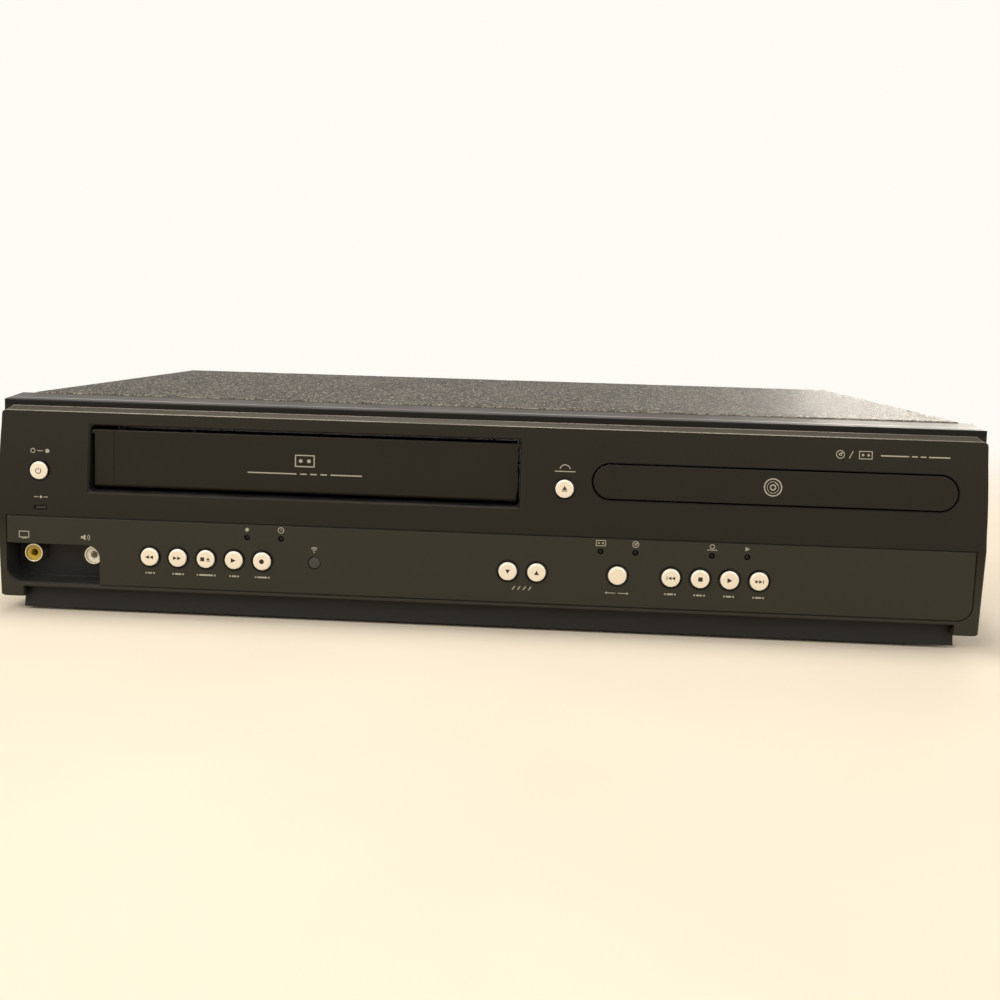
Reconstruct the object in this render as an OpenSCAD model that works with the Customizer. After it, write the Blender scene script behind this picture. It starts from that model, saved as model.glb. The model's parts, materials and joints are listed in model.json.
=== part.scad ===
// Combined video cassette recorder and disc player, free standing, 435 mm class.
// X runs to the right seen from the front, Y runs from the front to the back, Z up.
// Inside the modules Y is counted from the front edge of the bezel's top rim.

/* [Casing] */
// Width of the face to the left of the cassette slot
left_face = 41; // [38:0.5:60]
// Width of the face between the cassette slot and the tray opening
middle_face = 31.45; // [29:0.05:45]
// Width of the face to the right of the tray opening
right_face = 11.85; // [11:0.05:30]
// Height from the table to the top of the cover
unit_h = 98.6; // [98:0.1:104]
// Room from the back of the cassette deck to the back of the rear panel
rear_room = 16.2; // [15:0.2:36]
// Step from the side of the bezel in to the sheet metal cover
cover_inset = 4.7; // [3.5:0.1:5.5]
// Thickness of the cover sheet
cover_t = 0.8; // [0.6:0.1:1]
// Thickness of the chassis and rear panel sheet
chassis_t = 1; // [0.8:0.1:1.2]
// Underside of the chassis floor above the table
floor_z = 6.5; // [6:0.1:7]
// Diameter of each rubber foot
foot_d = 22; // [16:1:26]

/* [Bezel] */
// Depth of the bezel's top behind the rim
bezel_d = 16.4; // [15:0.2:18]
// Wall of the bezel moulding
bezel_wall = 2.4; // [2:0.1:2.6]
// How far the crease of the face stands in front of the rim
crease_out = 5.8; // [5:0.1:7]
// Height of the crease and of the groove along it
crease_z = 44.8; // [44.4:0.1:45.2]
// Width of the joint lines cut into the face
groove_w = 0.7; // [0.5:0.1:1]
// Depth of the joint lines cut into the face
groove_deep = 0.6; // [0.4:0.1:1]
// Bottom edge of the face above the plinth
face_bottom = 12; // [11.6:0.1:12.4]
// Step from the side of the bezel in to the recessed plinth
plinth_inset = 9; // [7.5:0.5:11.5]
// How far the sides of the bezel bulge at the height of the crease
side_bulge = 0.9; // [0.4:0.1:1.2]
// Bevel along the sides of the face and round the cassette slot
edge_break = 0.7; // [0.4:0.1:0.8]

/* [Cassette slot] */
// Width of a cassette
tape_w = 187; // [186:0.5:188]
// Thickness of a cassette
tape_h = 25; // [24.5:0.1:25.2]
// Depth of a cassette
tape_d = 103; // [102:0.5:104]
// Floor of the cassette slot in the bezel
slot_z = 56.4; // [56:0.1:56.8]
// Room at each side of a cassette in the slot
slot_side = 3; // [2.5:0.1:4]
// Room above a cassette in the slot
slot_over = 4.7; // [4.3:0.1:5.2]
// Thickness of the cassette door
door_t = 2; // [1.6:0.1:2.2]
// Travel of the cassette cage from eject to play
cage_travel = 58; // [50:1:60]

/* [Disc tray] */
// Centre height of the tray front
tray_z = 69.2; // [69:0.1:69.5]
// Width of the tray opening in the bezel
tray_open_w = 157.7; // [156:0.1:160]
// Height of the tray opening in the bezel
tray_open_h = 16.4; // [16:0.1:17]
// Gap around the tray front
tray_gap = 0.8; // [0.4:0.1:0.9]
// Travel of the tray
tray_travel = 135; // [125:1:138]
// Diameter of the well for a full size disc
disc_well_d = 121; // [120.5:0.5:122]
// Module of the rack and its gear
rack_m = 1; // [1:0.1:1.2]

/* [Buttons] */
// Diameter of a button cap
cap_d = 8.1; // [7.8:0.1:8.4]
// Gap around a button cap
cap_gap = 0.6; // [0.4:0.1:0.7]
// How far a cap stands out of the face
cap_proud = 1.3; // [1:0.1:2]
// Travel of a button
cap_travel = 0.6; // [0.4:0.1:0.8]
// Height of the lower row of buttons
row_z = 27.9; // [27.5:0.1:28.5]
// Spacing of the buttons in a group
row_pitch = 12.75; // [12.5:0.05:13]
// Height of the row of indicator lamps
lamp_z = 38.3; // [38:0.1:39]
// Diameter of an indicator lamp
lamp_d = 2.6; // [2:0.1:3]

/* [Jacks] */
// Outer diameter of a phono jack sleeve
jack_d = 8.3; // [8.2:0.1:8.4]
// Length of a phono jack sleeve
jack_len = 8; // [7.5:0.1:9]
// Length of an aerial connector
aerial_len = 9; // [8.5:0.1:11]
// Spacing of the phono jacks on the rear panel
jack_pitch = 14; // [13.5:0.1:15]

/* [Hidden] */
$fn = 48;
eps = 0.01;
run = 0.08;      // radial clearance of a shaft or pin in its bore
slip = 0.3;      // clearance between parts that pass each other
seat = 0.05;     // clearance between parts that rest on each other

// ---- across the front ----
slot_w = tape_w + 2 * slot_side;
slot_h = tape_h + slot_over;
unit_w = left_face + slot_w + middle_face + tray_open_w + right_face;
half_w = unit_w / 2;
slot_left = -half_w + left_face;
slot_right = slot_left + slot_w;
tray_left = slot_right + middle_face;
slot_x = slot_left + slot_w / 2;
slot_top = slot_z + slot_h;
tray_x = tray_left + tray_open_w / 2;
cover_w = unit_w - 2 * cover_inset;
plinth_half = half_w - plinth_inset;

// ---- face of the bezel: how far it stands from the rim at each height ----
rim_z = unit_h - 2.1;            // front edge of the top rim
band_z = rim_z - 2.8;            // lower edge of the dark band under the rim
ledge_z = band_z - 1.8;          // front edge of the ledge, top of the main face
ledge_out = 3;                   // how far the ledge reaches forward
foot_out = 4.8;                  // how far the bottom edge of the face reaches forward
corner_z = 7;                    // underside of the bezel's two lower corners
plinth_z = 1.5;                  // underside of the plinth
corner_r = 1.8;                  // rounding of the lower corners
face_corner_r = 2.4;             // rounding of the face's upper corners
side_foot = corner_z + corner_r; // the bulge of the sides starts here
side_top = ledge_z - face_corner_r;
panel_z = face_bottom + 1.2;     // lower edge of the joint line round the panel
panel_r = 7;                     // its rounded corner
ear = 1.5;                       // the lower corners reach this far over the plinth's ends
ear_back = -0.8;
function upper_face(z) =
    -crease_out + (crease_out - ledge_out) * pow((z - crease_z) / (ledge_z - crease_z), 1.6);
function lower_face(z) =
    -crease_out + (crease_out - foot_out) * (crease_z - z) / (crease_z - face_bottom);
function face(z) = z >= crease_z ? upper_face(min(z, ledge_z)) : lower_face(z);
face_steps = 8;
face_heights = [for (i = [0:face_steps]) ledge_z - (ledge_z - crease_z) * i / face_steps];
bezel_top_rise = 1.7;            // the top climbs this much from the rim to the back
top_wall = 1.8;

// ---- buttons and lamps ----
standby_x = -half_w + 18.5;
standby_z = 65.2;
open_x = tray_left - 11.75;
open_z = 65.5;
rewind_x = slot_left + 28.2;
tracking_x = slot_right - 4.1;
source_x = tray_left + 12.65;
previous_x = source_x + 23.3;
record_lamp_x = rewind_x + 44.1;
timer_lamp_x = rewind_x + 59.4;
vcr_lamp_x = source_x - 7.7;
dvd_lamp_x = source_x + 7.5;
disc_lamp_x = previous_x + 17.4;
play_lamp_x = previous_x + 32.7;
power_lamp_x = standby_x + 0.8;
power_lamp_z = 48.4;
power_lamp_w = 6.6;
power_lamp_h = 2.4;
ir_x = rewind_x + 74.4;
ir_d = 5.8;
BUTTONS = [[standby_x, standby_z], [open_x, open_z],
    for (i = [0:4]) [rewind_x + row_pitch * i, row_z],
    [tracking_x, row_z], [tracking_x + row_pitch, row_z], [source_x, row_z],
    for (i = [0:3]) [previous_x + row_pitch * i, row_z]];
LAMPS = [[record_lamp_x, lamp_z], [timer_lamp_x, lamp_z], [vcr_lamp_x, lamp_z],
    [dvd_lamp_x, lamp_z], [disc_lamp_x, lamp_z], [play_lamp_x, lamp_z]];

// ---- behind the buttons ----
seat_deep = 1.6;                 // bezel wall left in front of a button's flange
flange_d = cap_d + 2.1;
flange_t = 1;
boss_in = flange_d + 0.5;
boss_out = boss_in + 2.4;
boss_end = 1.2;                  // back end of the button guides
lamp_boss_end = 2;               // back end of the lamps' sockets
board_y = 8;                     // front of the function board
board_t = 1.6;
switch_w = 6;
switch_t = 3.6;
plunger_d = 3.4;
plunger_t = 1;
plunger_y = board_y - switch_t - plunger_t;
button_stem_d = 3;

// ---- jack recess at the lower left of the face ----
recess_left = -half_w + 3;
recess_right = -half_w + 46;
recess_top = 31.9;
recess_back = 8;
recess_wall = 1.6;
front_jacks_x = [-half_w + 12.2, -half_w + 40.2];
front_jack_z = 25.8;

// ---- cassette door ----
door_w = slot_w - 2.8;
door_low = slot_z + 2;
door_high = slot_top - 2;
hinge_z = door_high - 1;
door_y = face(hinge_z) + 1.9;    // front of the door
hinge_y = door_y + door_t / 2;
pin_d = 2.4;
tunnel_wall = 2;
tunnel_end = 13;
tunnel_floor_end = 24;
door_reach = hinge_z - door_low + door_t;

// ---- cassette deck ----
tape_z = slot_z + 0.2;           // underside of the cassette as it goes in
tape_drop = 22;                  // the cassette is lowered this much to play
deck_z = 26;
deck_t = 1.2;
deck_top = deck_z + deck_t;
deck_half = 105;
deck_front = 26;
sheet = 0.8;
cage_y = hinge_y + door_reach + 3;
cage_d = 50;
cage_half = tape_w / 2 + 0.7;    // inner half width of the cage
cage_floor = tape_z - 0.1;       // top of the cage's bottom flanges
cage_top = tape_z + tape_h + 0.9;
bracket_half = cage_half + sheet + 0.6;
bracket_t = 1;
bracket_top = cage_top + 3;
cage_pin_d = 3;
cage_pin_z = tape_z + tape_h / 2;
cage_pins = [5, 44];             // distance of the cage's pins from its front edge
play_back = cage_y + cage_d + cage_travel;   // inner edge of the cassette when it plays
reel_y = play_back - tape_d + 43;
reel_half = 46;
reel_d = 30;
reel_shaft_d = 3;
drum_d = 62;
drum_y = play_back + 34;
deck_back = drum_y + drum_d / 2 + 12.2;
drum_tilt = 5;
drum_split = 17;                 // height of the lower drum along its axis
drum_high = 33;
capstan_side = 62;               // capstan from the middle of the deck
capstan_x = slot_x + capstan_side;
capstan_y = play_back + 6;
capstan_d = 3;
rotor_d = 46;
pinch_arm_reach = [-20.5, -6];    // pinch roller from the arm's pivot
pinch_pivot = [capstan_x + 19, capstan_y - 11];
pinch_d = 13;
pinch_at = pinch_pivot + pinch_arm_reach;
guide_x = 39;
guide_y = play_back - 13;
guide_travel = 44;
cam_side = 72;                   // cam gear from the middle of the deck
cam_at = [slot_x - cam_side, drum_y + 12];
cam_teeth = 48;
cam_m = 0.8;
pinion_teeth = 14;
motor_d = 21;

// ---- disc loader ----
tray_w = 138;
tray_top = tray_z + 4.8;
tray_floor = tray_top - 2.6;     // surface that a disc lies on
tray_under = tray_floor - 1.6;
rail_low = tray_z - 5.2;
disc_y = disc_well_d / 2 + 11;   // centre of the disc when the tray is in
tray_front_y = 1;
gear_y = 24;                     // the gear meets the rack this far behind the rim
tray_back = gear_y + tray_travel + 8;    // the rack still meets the gear when the tray is out
loader_half = tray_w / 2 + 5;
loader_wall = 2.4;
loader_front = 7;
loader_back = tray_back + 12;
loader_floor = 50;
loader_floor_t = 2;
loader_top = tray_top + 9;
gear_teeth = 20;
gear_r = rack_m * gear_teeth / 2;
rack_face = tray_x - tray_w / 2 + 11;    // pitch line of the rack
gear_at = [rack_face + gear_r, gear_y];
big_teeth = 40;
small_teeth = 14;
train_m = 0.8;
pulley_at = [gear_at[0] + train_m * (big_teeth + small_teeth) / 2, gear_at[1]];
pulley_d = 26;
motor_pulley_d = 8;
motor_at = [pulley_at[0] + 40, gear_at[1] + 2];
belt_t = 1.2;
belt_z = loader_floor + loader_floor_t + 3;
axle_d = 3;
lift_angle = 5.5;
pickup_y = disc_y + 24;
pickup_half = 13;
pickup_travel = 30;
lift_pin_y = pickup_y + pickup_half + pickup_travel + 11;
lift_pin_z = 60;
deck_half_w = 41;
disc_up = tray_floor + 2.4;      // disc support of the turntable when raised
rail_d = 3;
rail_half = 24;
bridge_z = loader_top;
bridge_t = 1.2;

// ---- overall box and placing ----
front_most = min(face(row_z), face(standby_z)) - cap_proud;
body_d = deck_back + rear_room;  // from the rim to the back of the rear panel
panel_y = body_d - chassis_t;    // front of the rear panel
jack_end = body_d + aerial_len;
rim_y = -(front_most + jack_end) / 2;
floor_top = floor_z + chassis_t;
cover_in = cover_w / 2 - cover_t;
chassis_half = cover_in - 0.2;
aerial_x = -chassis_half + 15.8;
gland_x = chassis_half - 21.8;
cover_under = unit_h - cover_t;
cover_y = bezel_d + 0.2;         // front edge of the cover
side_in = half_w - bezel_wall;   // inner face of the bezel's sides

// ---- boards and rear ----
foot_in = 22.5;                  // centre of a foot from the side of the bezel
foot_front = 34;
foot_rear = 25.2;
tongue_x = [-half_w + 67.5, 0, half_w - 67.5];
between_x = (slot_x + deck_half + tray_x - loader_half) / 2;   // middle of the gap between both mechanisms
main_x = [-chassis_half + 33.8, chassis_half - 5.8];
main_y = [42, body_d - 8.2];
strip_x = [recess_right + 3.5, previous_x + 3 * row_pitch + 27.8];
strip_z = [13, 42];
board_z = 10.5;
gland_z = 24;

// ================= helpers =================
module placed() { translate([0, rim_y, 0]) children(); }
module along_x(x0, x1) { translate([x0, 0, 0]) rotate([90, 0, 90]) linear_extrude(x1 - x0) children(); }
module along_y(y0, y1) { translate([0, y1, 0]) rotate([90, 0, 0]) linear_extrude(y1 - y0) children(); }
module box(x0, x1, y0, y1, z0, z1) { translate([x0, y0, z0]) cube([x1 - x0, y1 - y0, z1 - z0]); }
module rod_y(x, z, y0, y1, d) { translate([x, y1, z]) rotate([90, 0, 0]) cylinder(h = y1 - y0, d = d); }
module rod_x(y, z, x0, x1, d) { translate([x0, y, z]) rotate([0, 90, 0]) cylinder(h = x1 - x0, d = d); }
module rod_z(x, y, z0, z1, d) { translate([x, y, z0]) cylinder(h = z1 - z0, d = d); }
module rounded(x0, x1, y0, y1, r) {
    translate([x0 + r, y0]) square([x1 - x0 - 2 * r, y1 - y0]);
    translate([x0, y0 + r]) square([x1 - x0, y1 - y0 - 2 * r]);
    for (x = [x0 + r, x1 - r], y = [y0 + r, y1 - r]) translate([x, y]) circle(r);
}
module stadium(cx, cy, w, h) {
    translate([cx, cy]) square([w - h, h], center = true);
    for (s = [-1, 1]) translate([cx + s * (w - h) / 2, cy]) circle(d = h);
}
// strip that follows the face between two heights, from `lead` in front of it to `deep` behind it
module face_strip(x0, x1, z0, z1, lead, deep, steps = 8) {
    heights = [for (i = [0:steps]) z0 + (z1 - z0) * i / steps];
    along_x(x0, x1) polygon(concat([for (z = heights) [face(z) - lead, z]],
        [for (i = [steps:-1:0]) [face(heights[i]) + deep, heights[i]]]));
}
// involute spur gear outline
function inv_deg(a) = tan(a) * 180 / PI - a;
function flank(r, teeth, m, play) =
    let (rp = m * teeth / 2, rb = rp * cos(20))
    90 / teeth - play / (2 * rp) * 180 / PI + inv_deg(20) - inv_deg(acos(min(1, rb / r)));
function polar(r, a) = [r * cos(a), r * sin(a)];
function gear_points(teeth, m, play = 0.2) =
    let (rp = m * teeth / 2, rb = rp * cos(20), ra = rp + 0.85 * m, rf = rp - 1.15 * m,
        rs = max(rb, rf), radii = [for (i = [0:3]) rs + (ra - rs) * i / 3])
    [for (t = [0:teeth - 1]) each let (c = 360 * t / teeth) concat(
        [polar(rf, c - flank(rs, teeth, m, play))],
        [for (r = radii) polar(r, c - flank(r, teeth, m, play))],
        [for (i = [3:-1:0]) polar(radii[i], c + flank(radii[i], teeth, m, play))],
        [polar(rf, c + flank(rs, teeth, m, play))])];
module gear(at, z0, z1, teeth, m, turn, bore) {
    translate([at[0], at[1], z0]) rotate(turn) difference() {
        linear_extrude(z1 - z0) polygon(gear_points(teeth, m));
        translate([0, 0, -1]) cylinder(h = z1 - z0 + 2, d = bore);
    }
}
// closed loop around two pulleys, `d1` and `d2` across, grown by `grow`
module loop_2d(a, b, d1, d2, grow) {
    dx = b[0] - a[0];
    dy = b[1] - a[1];
    len = norm([dx, dy]);
    dir = atan2(dy, dx);
    lean = asin((d1 - d2) / 2 / len);
    r1 = d1 / 2 + grow;
    r2 = d2 / 2 + grow;
    polygon(concat(
        [for (i = [0:20]) a + polar(r1, dir + 90 - lean + (180 + 2 * lean) * i / 20)],
        [for (i = [0:12]) b + polar(r2, dir - 90 + lean + (180 - 2 * lean) * i / 12)]));
}

// ================= casing =================
module bezel_body() {
    outline = concat(
        [[bezel_d, rim_z + bezel_top_rise], [0.5, rim_z + 0.05], [0.1, rim_z - 0.15], [0, rim_z - 0.5],
         [0, band_z]],
        [for (z = face_heights) [face(z), z]],
        [[face(face_bottom), face_bottom], [-foot_out + 0.3, corner_z + 1], [-foot_out + 1.2, corner_z],
         [bezel_d, corner_z]]);
    inner = concat(
        [[bezel_d + 1, rim_z + bezel_top_rise - top_wall + 0.1], [bezel_wall, rim_z - top_wall],
         [bezel_wall, band_z - 1.5]],
        [for (z = face_heights) [face(z) + bezel_wall, z - 1.5]],
        [[face(face_bottom) + bezel_wall, face_bottom + 2], [face(face_bottom) + bezel_wall, corner_z + bezel_wall],
         [bezel_d + 1, corner_z + bezel_wall]]);
    difference() {
        along_x(-half_w - side_bulge, half_w + side_bulge) polygon(outline);
        along_x(-side_in, side_in) polygon(inner);
        // room under the face for the plinth, open to the back
        box(ear - plinth_half, plinth_half - ear, -crease_out - 1, ear_back, corner_z - 1, face_bottom);
        box(-plinth_half, plinth_half, ear_back - eps, bezel_d + 1, corner_z - 1, face_bottom);
        // the sides are widest at the crease, and in front of the rim the corners are rounded
        along_y(-crease_out - 2, 0) difference() {
            translate([-half_w - 2, 0]) square([unit_w + 4, band_z + eps]);
            face_outline();
        }
        for (s = [-1, 1]) mirror([s < 0 ? 0 : 1, 0, 0]) along_y(-eps, bezel_d + 1)
            polygon([[-half_w, 0], [-half_w, side_foot], [-half_w - side_bulge, crease_z], [-half_w, side_top],
                [-half_w, unit_h + 5], [-half_w - 2, unit_h + 5], [-half_w - 2, 0]]);
        for (s = [-1, 1]) {
            upright_bevel(s * half_w, s * (half_w + side_bulge), side_foot - edge_break, crease_z);
            upright_bevel(s * (half_w + side_bulge), s * half_w, crease_z, ledge_z - edge_break);
            mirror([s < 0 ? 0 : 1, 0, 0]) along_y(-eps, bezel_d + 1) corner_bite(-half_w, corner_z, corner_r);
        }
    }
    plinth();
}
// front view of the face: rounded corners, the upper ones running back up the sloping ledge
module face_outline() {
    ledge_rise = band_z - ledge_z;
    side = concat([for (a = [0:15:90]) [face_corner_r * (1 - cos(a)), ledge_z - face_corner_r * (1 - sin(a))]],
        [[face_corner_r + ledge_rise, band_z + 2 * eps]]);
    low = [for (a = [90:-15:0]) [corner_r * (1 - sin(a)), corner_z + corner_r * (1 - cos(a))]];
    whole = concat([for (i = [len(low) - 1:-1:0]) low[i]], [[-side_bulge, crease_z]], side);
    polygon(concat([for (q = whole) [half_w - q[0], q[1]]],
        [for (i = [len(whole) - 1:-1:0]) [whole[i][0] - half_w, whole[i][1]]]));
}
// bar on edge that breaks an upright edge of the face, from x0 at z0 to x1 at z1
module upright_bevel(x0, x1, z0, z1) {
    rise = z1 - z0;
    out = face(z1) - face(z0);
    reach = norm([rise, out, x1 - x0]);
    translate([x0, face(z0), z0]) rotate([-atan2(out, rise), atan2(x1 - x0, rise), 0]) rotate([0, 0, 45])
        translate([0, 0, reach / 2])
            cube([edge_break * sqrt(2), edge_break * sqrt(2), reach + 0.4], center = true);
}
// the same for a level edge at z
module level_bevel(x0, x1, z) {
    along_x(x0, x1) translate([face(z), z]) rotate(45) square(edge_break * sqrt(2), center = true);
}
module plinth() {
    plinth_t = 2;
    cove = [for (i = [0:6]) let (t = i / 6) [0.6 - 1.2 * pow(t, 1.6), face_bottom - (face_bottom - plinth_z) * t]];
    along_x(-plinth_half, plinth_half) polygon(concat(cove,
        [for (i = [6:-1:0]) [cove[i][0] + plinth_t, cove[i][1]]]));
    // shelf between the face and the plinth
    box(-plinth_half - eps, plinth_half + eps, face(face_bottom) + 0.6, 2.6, face_bottom - eps, face_bottom + 1.8);
    for (s = [-1, 1]) mirror([s < 0 ? 1 : 0, 0, 0])
        box(plinth_half - eps, side_in + eps, face(face_bottom) + 1, bezel_d, corner_z, face_bottom + 1.8);
    // tongues that lie on the chassis floor
    for (x = tongue_x) {
        box(x - 12, x + 12, 1.6, 26, floor_top + seat, floor_top + seat + 1.6);
        for (g = [-11, 9.4]) along_x(x + g, x + g + 1.6)
            polygon([[1.6, floor_top + seat + 1.6], [14, floor_top + seat + 1.6], [2.4, face_bottom + 1]]);
    }
}
module panel_2d() {
    difference() {
        rounded(-half_w + 3, half_w - 3, panel_z, crease_z + 20, panel_r);
        translate([-half_w, crease_z]) square([unit_w, 30]);
    }
}
module panel_groove() {
    intersection() {
        along_y(-crease_out - 2, 0) difference() {
            panel_2d();
            panel_inside_2d();
        }
        face_strip(-half_w + 1, half_w - 1, face_bottom, crease_z + 0.5, 1, groove_deep);
    }
}
module panel_inside_2d() {
    difference() {
        rounded(-half_w + 3 + groove_w, half_w - 3 - groove_w, panel_z + groove_w, crease_z + 20, panel_r - groove_w);
        translate([-half_w, crease_z - groove_w]) square([unit_w, 30]);
    }
}
module recess_2d(grow = 0) {
    r = 6;
    low = panel_z + groove_w;
    difference() {
        union() {
            translate([recess_left - grow, low - grow])
                square([recess_right - recess_left - r + grow, recess_top - low + 2 * grow]);
            translate([recess_left - grow, low - grow])
                square([recess_right - recess_left + 2 * grow, recess_top - low - r + grow]);
            translate([recess_right - r, recess_top - r]) circle(r + grow);
        }
        corner_bite(recess_left - grow, low - grow, panel_r + grow);
    }
}
module corner_bite(x, z, r) {
    difference() {
        translate([x - 1, z - 1]) square([r + 1, r + 1]);
        translate([x + r, z + r]) circle(r);
    }
}
module front_bezel() color([0.16, 0.15, 0.14]) placed() difference() {
    union() {
        bezel_body();
        // tunnel round the cassette slot
        face_block(slot_left - tunnel_wall, slot_right + tunnel_wall,
            slot_z - tunnel_wall, slot_top + tunnel_wall, tunnel_end);
        box(slot_left, slot_right, 0, tunnel_floor_end, slot_z - tunnel_wall, slot_z);
        // sleeve round the tray opening
        along_y(face(tray_z) + 2, loader_front - 2.5)
            stadium(tray_x, tray_z, tray_open_w + 3.2, tray_open_h + 3.2);
        for (b = BUTTONS) rod_y(b[0], b[1], face(b[1]) + 1, boss_end, boss_out);
        for (l = LAMPS) rod_y(l[0], l[1], face(l[1]) + 1, lamp_boss_end, lamp_d + 3);
        rod_y(ir_x, row_z, face(row_z) + 1, lamp_boss_end, ir_d + 3);
        along_y(face(power_lamp_z) + 1, lamp_boss_end)
            stadium(power_lamp_x, power_lamp_z, power_lamp_w + 3, power_lamp_h + 3);
        // box round the jack recess
        along_y(face(row_z) + 1, recess_back + recess_wall) intersection() {
            recess_2d(recess_wall);
            translate([-side_in - eps, face_bottom]) square([100, 60]);
        }
        board_posts();
        tunnel_ribs();
    }
    // cassette slot, right through
    along_y(-crease_out - 2, tunnel_end + 1)
        rounded(slot_left, slot_right, slot_z, slot_top, 2);
    for (x = [slot_left, slot_right]) upright_bevel(x, x, slot_z - edge_break / 2, slot_top + edge_break / 2);
    for (z = [slot_z, slot_top]) level_bevel(slot_left - edge_break / 2, slot_right + edge_break / 2, z);
    rod_x(hinge_y, hinge_z, slot_left - tunnel_wall - 1, slot_right + tunnel_wall + 1, pin_d + 2 * run);
    // room beside the tunnel for the door's spring
    rod_x(hinge_y, hinge_z, slot_left - tunnel_wall - 8, slot_left - tunnel_wall,
        pin_d + 2 * slip + 2 * spring_wire + 2 * seat);
    along_y(-crease_out - 2, loader_front) stadium(tray_x, tray_z, tray_open_w, tray_open_h);
    for (b = BUTTONS) {
        rod_y(b[0], b[1], -crease_out - 2, boss_end + 1, cap_d + 2 * cap_gap);
        rod_y(b[0], b[1], face(b[1]) + seat_deep, boss_end + 1, boss_in);
    }
    for (l = LAMPS) rod_y(l[0], l[1], -crease_out - 2, 3, lamp_d + 2 * seat);
    rod_y(ir_x, row_z, -crease_out - 2, 3, ir_d + 2 * seat);
    along_y(-crease_out - 2, 3)
        stadium(power_lamp_x, power_lamp_z, power_lamp_w + 2 * seat, power_lamp_h + 2 * seat);
    along_y(-crease_out - 2, recess_back) recess_2d();
    for (x = front_jacks_x) rod_y(x, front_jack_z, recess_back - 1, recess_back + recess_wall + 1, jack_d + 1.6);
    panel_groove();
    // room for the front edge of the chassis floor
    for (s = [-1, 1]) mirror([s < 0 ? 1 : 0, 0, 0])
        box(plinth_half - 1, chassis_half + slip, chassis_front - slip, bezel_d + 1, corner_z - 1, floor_top + slip);
}
// solid block behind the face, from just inside its skin to a plane
module face_block(x0, x1, z0, z1, back) {
    along_x(x0, x1) polygon(concat([for (i = [0:4]) let (z = z0 + (z1 - z0) * i / 4) [face(z) + 1, z]],
        [[back, z1], [back, z0]]));
}
board_post_x = [strip_x[0] + 4, slot_x + 20, slot_x + 70, tray_left - 3, strip_x[1] - 3];
module board_posts() {
    for (x = board_post_x) difference() {
        rod_y(x, 20, face(20) + 1, board_y - seat, 6);
        rod_y(x, 20, 2, board_y + 1, 2.2);
    }
}
module tunnel_ribs() {
    low = slot_z - tunnel_wall;
    for (x = [-60, -20, 20, 60]) translate([slot_x, 0, 0]) box(x - 0.8, x + 0.8, 0, 18, low - 5, low + eps);
}
vent_pitch = 6;
module top_cover() color([0.13, 0.125, 0.12]) placed() difference() {
    union() {
        along_y(cover_y, body_d + cover_t) difference() {
            cover_2d(cover_w / 2, unit_h, 2);
            cover_2d(cover_in, cover_under, 1.2);
        }
        // the front edge drops behind the bezel and runs on under its top
        along_x(-cover_in + 1, cover_in - 1) polygon([[cover_y, unit_h], [cover_y, tongue_z + cover_t],
            [bezel_d - 6, tongue_z + cover_t], [bezel_d - 6, tongue_z], [cover_y + cover_t, tongue_z],
            [cover_y + cover_t, unit_h]]);
        // the back edge turns down outside the rear panel
        box(-cover_in, cover_in, body_d, body_d + cover_t, cover_under - 7, unit_h - eps);
    }
    for (x = hook_x) box(x - 5 - slip, x + 5 + slip, body_d - 3, body_d + cover_t + 1, cover_under - 2, unit_h + 1);
    for (s = [-1, 1], i = [0:17], row = [0, 1])
        translate([s * cover_w / 2, 90 + i * vent_pitch, 26 + row * 22])
            rotate([90, 0, 90]) linear_extrude(6, center = true) stadium_up(2.4, 16);
    for (s = [-1, 1], y = cover_screw_y) rod_x(y, cover_screw_z, s * cover_w / 2 - 3, s * cover_w / 2 + 3, 3.6);
    for (x = rear_screw_x) rod_y(x, cover_under - 3.6, body_d - 1, body_d + cover_t + 1, 3.6);
}
tongue_z = rim_z + bezel_top_rise * (bezel_d - 6) / bezel_d - top_wall - slip - cover_t - 0.2;
hook_x = [slot_x - 70, 0, tray_x - 26.8, tray_x + 48.2];
cover_screw_y = [70, 190];
cover_screw_z = 16;
rear_screw_x = [-chassis_half + 21.8, slot_x + 5, tray_left + 2, chassis_half - 11.8];
module stadium_up(w, h) {
    square([w, h - w], center = true);
    for (s = [-1, 1]) translate([0, s * (h - w) / 2]) circle(d = w);
}
module cover_2d(half, top, r) {
    translate([-half + r, floor_z + 1]) square([2 * (half - r), top - floor_z - 1]);
    translate([-half, floor_z + 1]) square([2 * half, top - floor_z - 1 - r]);
    for (s = [-1, 1]) translate([s * (half - r), top - r]) circle(r);
}
chassis_front = 5;
module bottom_chassis() color([0.72, 0.72, 0.7]) placed() difference() {
    union() {
        box(-chassis_half, chassis_half, chassis_front, panel_y, floor_z, floor_top);
        for (s = [-1, 1]) mirror([s < 0 ? 1 : 0, 0, 0])
            box(chassis_half - chassis_t, chassis_half, bezel_d + 1, panel_y, floor_z, floor_z + 18);
        // pressed bosses that carry the main board
        for (p = board_bosses) rod_z(p[0], p[1], floor_top - eps, board_z, 8);
        // stiffening beads
        for (y = [60, 110, 160]) box(slot_x - 70, slot_x + 40, y, y + 6, floor_top - eps, floor_top + 0.8);
    }
    for (p = board_bosses) rod_z(p[0], p[1], floor_z - 1, board_z + 1, 2.6);
    // cooling slots under both halves
    for (i = [0:13], x = [slot_x - 40, tray_x - 6.8]) translate([x - 45 + i * 7, 0, 0])
        box(0, 3, body_d - 50, body_d - 18, floor_z - 1, floor_top + 1);
    for (s = [-1, 1], y = cover_screw_y) rod_x(y, cover_screw_z, s * chassis_half - 3, s * chassis_half + 3, 3.2);
    for (p = foot_at) rod_z(p[0], p[1], floor_z - 1, floor_top + 1, 4);
}
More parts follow.
